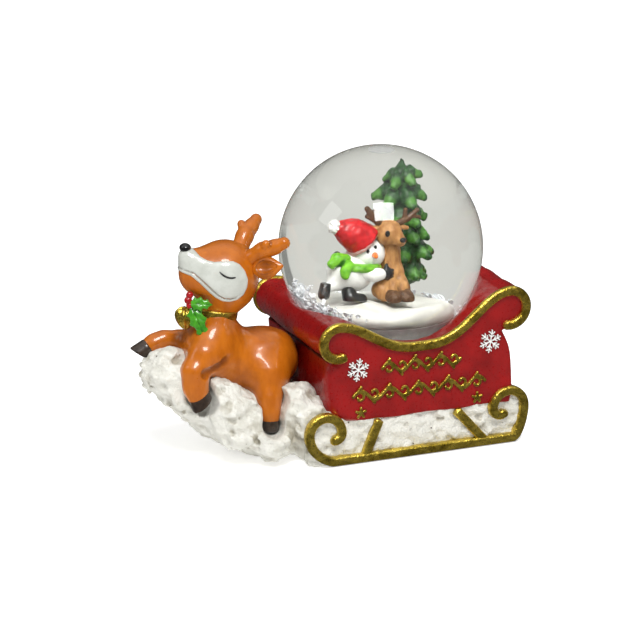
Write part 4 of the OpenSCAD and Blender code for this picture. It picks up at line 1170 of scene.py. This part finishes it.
def fir_tree():
    """A stack of drooping leaf lumps round a cone, whose outer ends carry the attribute tip."""
    dice = np.random.default_rng(5)
    lumps = []
    for row, (z, reach, count) in enumerate(TIERS):
        for k in range(count):
            a = 2 * pi * (k + 0.5 * (row % 2)) / count + dice.uniform(-0.15, 0.15)
            out = vec(cos(a), sin(a), 0)
            far = reach * dice.uniform(0.9, 1.08)
            low = z + dice.uniform(-0.35, 0.35)
            lumps.append((TREE + out * 0.42 * far + vec(0, 0, low + 1.0),
                          TREE + out * (far - 0.6) + vec(0, 0, low),
                          1.45 if row else 1.0))

    def field(p):
        """A stem rod and a spike, blended with one tapered rod for each lump."""
        d = bone(p, TREE + vec(0, 0, 37.2), TREE + vec(0, 0, 50.0), 2.8, 2.1)
        d = blend(d, bone(p, TREE + vec(0, 0, 51.6), TREE + vec(0.1, 0, 55.6), 1.8, 0.15), 0.4)
        for a, b, thick in lumps:
            d = blend(d, bone(p, a, b, thick, 0.62), 0.3)
        return d - 0.13 * ripples(p, 1.3, 41)

    def tips(verts):
        """Towards 1 near each lump's outer part, else 0."""
        near = np.full(len(verts), 9.0)
        for a, b, _ in lumps:
            near = np.minimum(near, length(verts - (0.35 * a + 0.65 * b)))
        return np.clip(1.9 - near, 0, 1) * np.clip(1.4 - 0.4 * near, 0, 1)
    sculpt("fir_tree", field, (0, -1, 35.0), (10.9, 9.8, 56.2), 0.24, FIR, "fir_paint", 0.6, tip=tips)
    sculpt("tree_trunk", lambda p: limb(p, [TREE + vec(0, 0, 33.2), TREE + vec(0, 0, 36.8)], [1.2, 0.9])
           - 0.1 * ripples(p, 1.0, 42), TREE + vec(-1.8, -1.8, 32.6), TREE + vec(1.8, 1.8, 37.4), 0.2, HORN,
           "bark_paint", 0.5)


BODY = vec(-6.7, -2.0, 38.8)
FACE_C = vec(-3.5, -2.6, 42.1)
HAT_AXIS = vec(-0.62, 0.06, 0.78)


def ring_field(p, centre, axis, r, thick, tall):
    """A band round an axis: its section is an ellipse thick across and tall along the axis."""
    axis = axis / length(axis)
    q = p - centre
    h = q @ axis
    out = length(q - h[..., None] * axis) - r
    k = np.sqrt(np.square(out / thick) + np.square(h / tall))
    return (k - 1) * min(thick, tall)


def snowman():
    """A snowman who leans on the fawn and holds it: ellipsoids and rods with round ends, blended."""
    def body(p):
        """An egg and a trailing leg."""
        d = egg(p, BODY, vec(4.2, 3.9, 3.5))
        return blend(d, limb(p, [BODY + vec(-2.4, -0.4, -1.2), vec(-11.4, -3.0, 36.6)], [1.7, 1.0]), 1.0)
    sculpt("snowman_body", body, (-13.4, -6.6, 33.6), (-1.8, 2.4, 42.6), 0.22, WHITE, "white_paint", 0.8)
    sculpt("snowman_head", lambda p: egg(p, FACE_C, vec(3.0, 2.9, 2.75)), FACE_C - 3.2, FACE_C + 3.2, 0.2,
           WHITE, "white_paint", 0.8)

    def front(x, z):
        """Where the face is, seen along Y."""
        y = FACE_C[1] - 2.9 * sqrt(max(1 - ((x - FACE_C[0]) / 3.0) ** 2 - ((z - FACE_C[2]) / 2.75) ** 2,
                                       0.02))
        return vec(x, y, z)
    eye_l, eye_r, nose = front(-4.65, 43.1), front(-3.15, 43.7), front(-3.5, 42.4)
    eyes = lambda p: np.minimum(egg(p, eye_l, vec(0.32, 0.25, 0.42)), egg(p, eye_r, vec(0.3, 0.25, 0.4)))
    sculpt("snowman_eyes", eyes, eye_l - 0.9, eye_r + vec(0.8, 1.2, 0.9), 0.08, BLACK, "black_paint", 0.2)
    carrot = lambda p: bone(p, nose, nose + vec(-0.15, -0.85, 0.0), 0.55, 0.4)
    sculpt("snowman_nose", carrot, nose - vec(1, 2, 1), nose + vec(1.2, 1, 1), 0.12, CARROT, "carrot_paint",
           0.3)

    def hat(p):
        """Three tapering rods, cut off across the hat at the brim."""
        d = limb(p, [vec(-4.3, -2.4, 44.3), vec(-6.4, -2.2, 45.8), vec(-8.7, -1.9, 46.9)], [3.25, 2.5, 1.5],
                 1.5)
        d = d - 0.08 * ripples(p, 1.6, 51)
        return carve(d, (p - vec(-4.6, -2.35, 44.05)) @ (HAT_AXIS / length(HAT_AXIS)), 0.3)
    sculpt("snowman_hat", hat, (-10.4, -5.8, 41.4), (-0.8, 1.2, 49.4), 0.2, HAT, "hat_paint", 0.6)

    def brim(p):
        """A rippled band round the head, across the hat."""
        return ring_field(p, vec(-4.6, -2.35, 44.0), HAT_AXIS, 2.75, 0.45, 0.42) - 0.05 * ripples(p, 0.9, 52)
    sculpt("hat_brim", brim, (-8.5, -6.2, 41.0), (-0.6, 1.6, 47.0), 0.16, BRIM, "brim_paint", 0.4)
    tassel = vec(-10.0, -1.8, 47.5)
    sculpt("hat_pompom", lambda p: ball(p, tassel, 1.3) - 0.1 * ripples(p, 0.9, 53), tassel - 1.6,
           tassel + 1.6, 0.14,
           WHITE, "white_paint", 0.4)

    def scarf(p):
        """A band round the neck, a knot and a hanging tail."""
        d = ring_field(p, vec(-5.6, -2.3, 40.3), vec(0.10, -0.05, 0.98), 3.3, 1.0, 0.8)
        d = blend(d, limb(p, [vec(-8.2, -3.4, 41.7), vec(-9.9, -3.2, 41.7), vec(-11.1, -3.3, 40.9)],
                          [0.9, 1.1, 0.85], 0.6), 0.8)
        tail = limb(p, [vec(-8.4, -4.9, 40.9), vec(-9.4, -5.4, 39.9), vec(-9.6, -5.7, 39.1)],
                    [0.85, 0.9, 0.75], 0.5)
        return blend(d, tail, 0.5) - 0.07 * ripples(p, 1.1, 54)
    sculpt("scarf", scarf, (-12.8, -7.2, 37.2), (-1.2, 2.4, 43.2), 0.2, SCARF, "scarf_paint", 0.5)
    arm = lambda p: limb(p, [vec(-5.4, -4.8, 39.3), vec(-3.8, -5.6, 38.9), vec(-2.5, -5.7, 38.9)],
                         [1.35, 1.1, 1.05])
    sculpt("snowman_arm", arm, (-6, -7, 37), (0.8, -3.4, 40.8), 0.18, WHITE, "white_paint", 0.5)

    def mittens(p):
        """A palm with a thumb and three fingers, and the far hand as a ball."""
        palm = vec(-1.2, -5.6, 38.9)
        d = blend(egg(p, palm, vec(1.05, 0.8, 1.2)),
                  bone(p, palm + vec(-0.2, 0, 0.6), palm + vec(-0.1, 0, 1.5), 0.45, 0.35), 0.3)
        for k in range(3):
            tip = palm + vec(1.05, 0.1, -0.7 + 0.6 * k)
            d = blend(d, bone(p, palm + vec(0.3, -0.2, -0.5 + 0.5 * k), tip, 0.35, 0.3), 0.15)
        return np.minimum(d, ball(p, vec(-9.3, -2.0, 42.1), 0.75))
    sculpt("mittens", mittens, (-10.4, -6.8, 36.6), (1.4, -0.8, 43.2), 0.15, BLACK, "black_paint", 0.3)

    def boots(p):
        """Two rods for each boot, cut off flat at the sole and at the top."""
        a = blend(bone(p, vec(-12.2, -3.0, 36.9), vec(-12.9, -3.4, 35.4), 1.1, 1.15),
                  bone(p, vec(-13.4, -3.8, 35.1), vec(-12.6, -3.0, 35.1), 1.0, 1.0), 0.5)
        b = blend(bone(p, vec(-8.0, -4.2, 35.7), vec(-7.9, -4.4, 34.5), 1.3, 1.3),
                  bone(p, vec(-7.8, -4.8, 34.5), vec(-5.8, -4.8, 34.3), 1.35, 1.15), 0.5)
        return carve(carve(np.minimum(a, b), p[..., 2] - 34.1, 0.25), 37.4 - p[..., 2], 0.2)
    sculpt("boots", boots, (-14.9, -6.4, 33.2), (-4.4, -1.6, 37.8), 0.18, BLACK, "black_paint", 0.4)


def fawn():
    """A sitting fawn: head turned to the front, forelegs splayed, antlers, ears and hooves."""
    head_c = vec(0.0, -3.4, 45.9)
    muzzle = vec(1.4, -5.3, 44.5)

    def body(p):
        """Chest and neck, two forelegs and a hind leg as rods, blended and combed with fine ripples."""
        d = limb(p, [vec(0.6, -2.9, 44.0), vec(0.5, -2.8, 41.6), vec(0.5, -3.0, 38.6), vec(0.5, -2.8, 36.4)],
                 [1.6, 1.45, 1.8, 2.3], 1.5)
        d = blend(d, limb(p, [vec(0.2, -3.8, 38.6), vec(-0.4, -5.0, 36.8), vec(-0.2, -6.0, 35.2)],
                          [1.3, 1.2, 1.15]), 0.7)
        d = blend(d, limb(p, [vec(1.2, -3.8, 38.2), vec(1.6, -5.0, 36.4), vec(1.9, -5.8, 35.2)],
                          [1.3, 1.2, 1.1]), 0.7)
        d = blend(d, limb(p, [vec(-0.2, -2.8, 36.2), vec(-1.9, -4.4, 35.8), vec(-1.6, -5.4, 35.0)],
                          [1.8, 1.3, 1.1]), 0.8)
        return d - 0.07 * ripples(p * vec(1, 1, 0.4), 0.8, 61)
    sculpt("fawn_body", body, (-3.2, -8, 33.4), (5.6, 1.4, 46), 0.2, FAWN, "fawn_paint", 0.7)

    def head(p):
        """An ellipsoid with a cheek and a muzzle, less a thin rod for the smile."""
        d = egg(p, head_c, vec(2.2, 2.1, 2.05))
        d = blend(d, ball(p, head_c + vec(-0.9, -0.6, -0.7), 1.45), 0.8)
        d = blend(d, bone(p, head_c + vec(0.6, -0.9, -0.4), muzzle, 1.5, 1.05), 1.0)
        smile = bone(p, muzzle + vec(-1.7, -0.5, -0.75), muzzle + vec(0.1, -1.0, -0.5), 0.13, 0.13)
        return carve(d, smile, 0.15) - 0.04 * ripples(p, 0.8, 62)

    def on_face(x, z):
        """Point of the fawn's face at a place seen along Y."""
        y = -8.0
        for _ in range(40):
            y = y + float(head(vec(x, y, z)[None])[0]) * 0.8
        return vec(x, y, z)
    sculpt("fawn_head", head, (-2.6, -7.0, 42.2), (4.2, -0.8, 48.6), 0.17, FAWN, "fawn_paint", 0.5)
    tip = muzzle + vec(0.2, -0.95, 0.35)
    sculpt("fawn_muzzle_tip", lambda p: egg(p, tip, vec(0.62, 0.45, 0.48)), tip - 1, tip + 1, 0.1, BLACK,
           "black_paint", 0.3)
    eye, far_eye = on_face(-1.05, 46.1), on_face(1.95, 46.2)
    eyes = lambda p: np.minimum(egg(p, eye, vec(0.46, 0.3, 0.6)), egg(p, far_eye, vec(0.2, 0.25, 0.3)))
    sculpt("fawn_eyes", eyes, np.minimum(eye, far_eye) - 0.9, np.maximum(eye, far_eye) + 0.9, 0.09, BLACK,
           "black_paint", 0.2)

    def antlers(p):
        """On each side a bent rod with two prongs."""
        left = limb(p, [vec(-1.5, -2.9, 47.2), vec(-2.8, -2.8, 48.8), vec(-3.9, -2.8, 50.4)],
                    [0.65, 0.7, 0.5], 0.5)
        left = blend(left, bone(p, vec(-2.7, -2.8, 48.6), vec(-2.0, -2.8, 50.4), 0.6, 0.45), 0.3)
        left = blend(left, bone(p, vec(-2.4, -2.8, 48.2), vec(-3.9, -2.8, 48.9), 0.5, 0.4), 0.3)
        right = limb(p, [vec(2.0, -2.9, 46.9), vec(3.8, -2.8, 47.6), vec(5.6, -2.8, 48.9)], [0.6, 0.5, 0.35],
                     0.5)
        right = blend(right, bone(p, vec(3.2, -2.8, 47.4), vec(3.4, -2.8, 49.2), 0.45, 0.35), 0.3)
        right = blend(right, bone(p, vec(4.4, -2.8, 48.0), vec(5.9, -2.8, 47.5), 0.38, 0.3), 0.3)
        return np.minimum(left, right)
    sculpt("fawn_antlers", antlers, (-4.8, -4.0, 46), (6.6, -1.8, 51.4), 0.16, HORN, "bark_paint", 0.3)

    def ears(p):
        """On each side a rod that tapers outwards."""
        left = limb(p, [vec(-1.6, -3.2, 46.5), vec(-3.0, -3.2, 46.7)], [0.7, 0.4])
        right = limb(p, [vec(2.4, -2.9, 46.2), vec(3.6, -2.9, 45.9)], [0.6, 0.35])
        return np.minimum(left, right)
    sculpt("fawn_ears", ears, (-3.8, -4.2, 45), (4.4, -2, 47.6), 0.15, FAWN, "fawn_paint", 0.3)

    def feet(p):
        """Three rods, cut off flat below."""
        d = np.minimum(bone(p, vec(-0.6, -6.4, 34.9), vec(-0.4, -7.3, 34.4), 1.3, 1.2),
                       bone(p, vec(2.0, -6.1, 34.9), vec(2.2, -7.0, 34.4), 1.3, 1.2))
        d = blend(d, bone(p, vec(0.4, -6.6, 34.6), vec(1.5, -6.4, 34.6), 1.1, 1.1), 0.4)
        return carve(d - 0.05 * ripples(p, 0.9, 63), p[..., 2] - 33.8, 0.25)
    sculpt("fawn_hooves", feet, (-1.6, -8.6, 33.2), (5.2, -4.2, 36.6), 0.18, HORN, "bark_paint", 0.4)


def carried_over():
    """The flat felt pad, the stopper and its glue keep their modelled shape and get a finish."""
    felt = Paint("felt", roughness=0.95)
    felt.colour(felt.mix((0.035, 0.05, 0.035), (0.07, 0.09, 0.07),
                         felt.ramp(felt.noise(0.5, 4.0), 0.3, 0.7)))
    felt.bump(felt.noise(0.25, 3.0), 0.15)
    for node, paint in (("base_pad", felt), ("stopper", RUBBER), ("seat_glue", GLUE)):
        for piece in bpy.data.objects:
            if piece.name == node or piece.get("node") == node:
                piece.data.materials.clear()
                piece.data.materials.append(paint.material)


# painted refraction: seen through the glass, the floor and the low sky show a fixed grey and a darker band
# that no other ray sees
BACKDROP, DARK_BAND = 0.72, 0.22  # what shines through the glass: the pale backdrop and a darker strip of it


def studio():
    """Plain pale floor, sky for the fill light, square soft key light, weak side light, camera."""
    floor = bpy.data.meshes.new("floor")
    floor.from_pydata([(-9, -9, -0.0001), (9, -9, -0.0001), (9, 9, -0.0001), (-9, 9, -0.0001)], [],
                      [(0, 1, 2, 3)])
    pale = Paint("pale_floor", roughness=0.9, emission_strength=0.45)
    pale.colour(pale.mix((0.93, 0.93, 0.93), (0.95, 0.95, 0.95), pale.noise(60.0)))
    rays = ("Is Glossy Ray", "Is Reflection Ray", "Is Transmission Ray")
    glossy, mirrored, through = (pale.node("LightPath", output=k) for k in rays)
    outside = pale.ramp(pale.node("LightPath", output="Transmission Depth"), 0.4, 0.6, 1.0, 0.0)
    spot = pale.node("TexCoord", output="Object")
    x, y = (pale.node("SeparateXYZ", (), {0: spot}, output=k) for k in range(2))
    away = pale.ramp(pale.node("VectorMath", {"operation": "LENGTH"}, {0: spot}, output="Value"), 0.10, 0.16)
    # painted refraction: a grey glow and a darker band for rays that came through the glass
    bright, dark_band = (pale.node("Emission", (), {"Color": (1, 1, 0.965, 1), "Strength": power})
                       for power in (BACKDROP, DARK_BAND))
    beyond = pale.node("MixShader", (), {0: pale.strip(x, y) * away, 1: bright, 2: dark_band})
    # painted reflection: in mirror-like reflections outside the glass the floor shows near black instead of
    # pale
    dim = pale.node("BsdfDiffuse", (), {"Color": (0.07, 0.07, 0.07, 1)})
    painted = Wire(pale, pale.shader.outputs[0])
    both = pale.node("MixShader", (), {0: glossy * mirrored * outside, 1: painted, 2: dim})
    pale.feed(pale.node("MixShader", (), {0: through, 1: both, 2: beyond}), "Material Output", "Surface")
    floor.materials.append(pale.material)
    put("floor", floor)

    world = bpy.data.worlds.new("studio")
    world.use_nodes = True
    sky, soft = Nodes(world.node_tree), "SMOOTHSTEP"
    way = sky.node("TexCoord", output="Generated")
    x, y, z = (sky.node("SeparateXYZ", (), {0: way}, output=k) for k in range(3))
    glossy, mirrored, through = (sky.node("LightPath", output=k) for k in rays)
    # painted reflection: the low sky is darker in mirror-like reflections than in the light it gives
    low = sky.share(0.20, 0.05, glossy * mirrored)
    overhead = sky.ramp(z, 0.45, 0.95, low, 0.80, soft)
    # painted refraction: the darker band in the low sky, seen only through the glass
    dark_band = sky.strip(x, y, soft) * sky.ramp(z, 0.30, 0.45, 1, 0, soft)
    beyond = sky.ramp(dark_band, 0, 1, BACKDROP, DARK_BAND, soft)
    sky.feed(sky.share(overhead, beyond, through), "Background", "Strength")
    world.node_tree.nodes["Background"].inputs["Color"].default_value = (1, 1, 0.985, 1)
    bpy.context.scene.world = world
    bpy.context.scene.view_settings.view_transform = "Standard"

    def lamp(name, azimuth, elevation, away, size, watts):
        """A square lamp that faces the globe from a heading and height in degrees."""
        a, e = radians(azimuth), radians(elevation)
        way = Vector((sin(a) * cos(e), -cos(a) * cos(e), sin(e)))
        light = bpy.data.lights.new(name, "AREA")
        light.shape, light.size, light.energy = "SQUARE", size, watts
        body = put(name, light)
        body.location = Vector(BALL * MM) + away * way
        body.rotation_euler = way.to_track_quat("Z", "Y").to_euler()
    lamp("key", -17.9, 55.0, 1.0, 0.36, 8.6)
    lamp("left", -100.0, 35.0, 1.4, 0.5, 1.6)

    azimuth, elevation, distance = radians(-23.5), radians(16.0), 700.0
    aside, below = 13.23, 16.22  # how far the view's middle lies from the ball's
    back = vec(sin(azimuth) * cos(elevation), -cos(azimuth) * cos(elevation), sin(elevation))
    right = vec(cos(azimuth), sin(azimuth), 0)
    up = np.cross(back, right)
    aim = BALL - aside * right - below * up
    place = BALL + distance * back
    lens = bpy.data.cameras.new("camera")
    lens.lens, lens.sensor_width = 179.2, 36.0
    lens.clip_start, lens.clip_end = 0.01, 60.0
    camera = put("camera", lens)
    camera.location = Vector(place * MM)
    camera.rotation_euler = Vector((place - aim) * MM).to_track_quat("Z", "Y").to_euler()
    bpy.context.scene.camera = camera


studio()
snow_bank()
tub()
for hand in (LEFT, RIGHT):
    metalwork(hand)
    ornaments(hand)
reindeer()
holly()
globe()
mound()
flakes()
fir_tree()
snowman()
fawn()
carried_over()
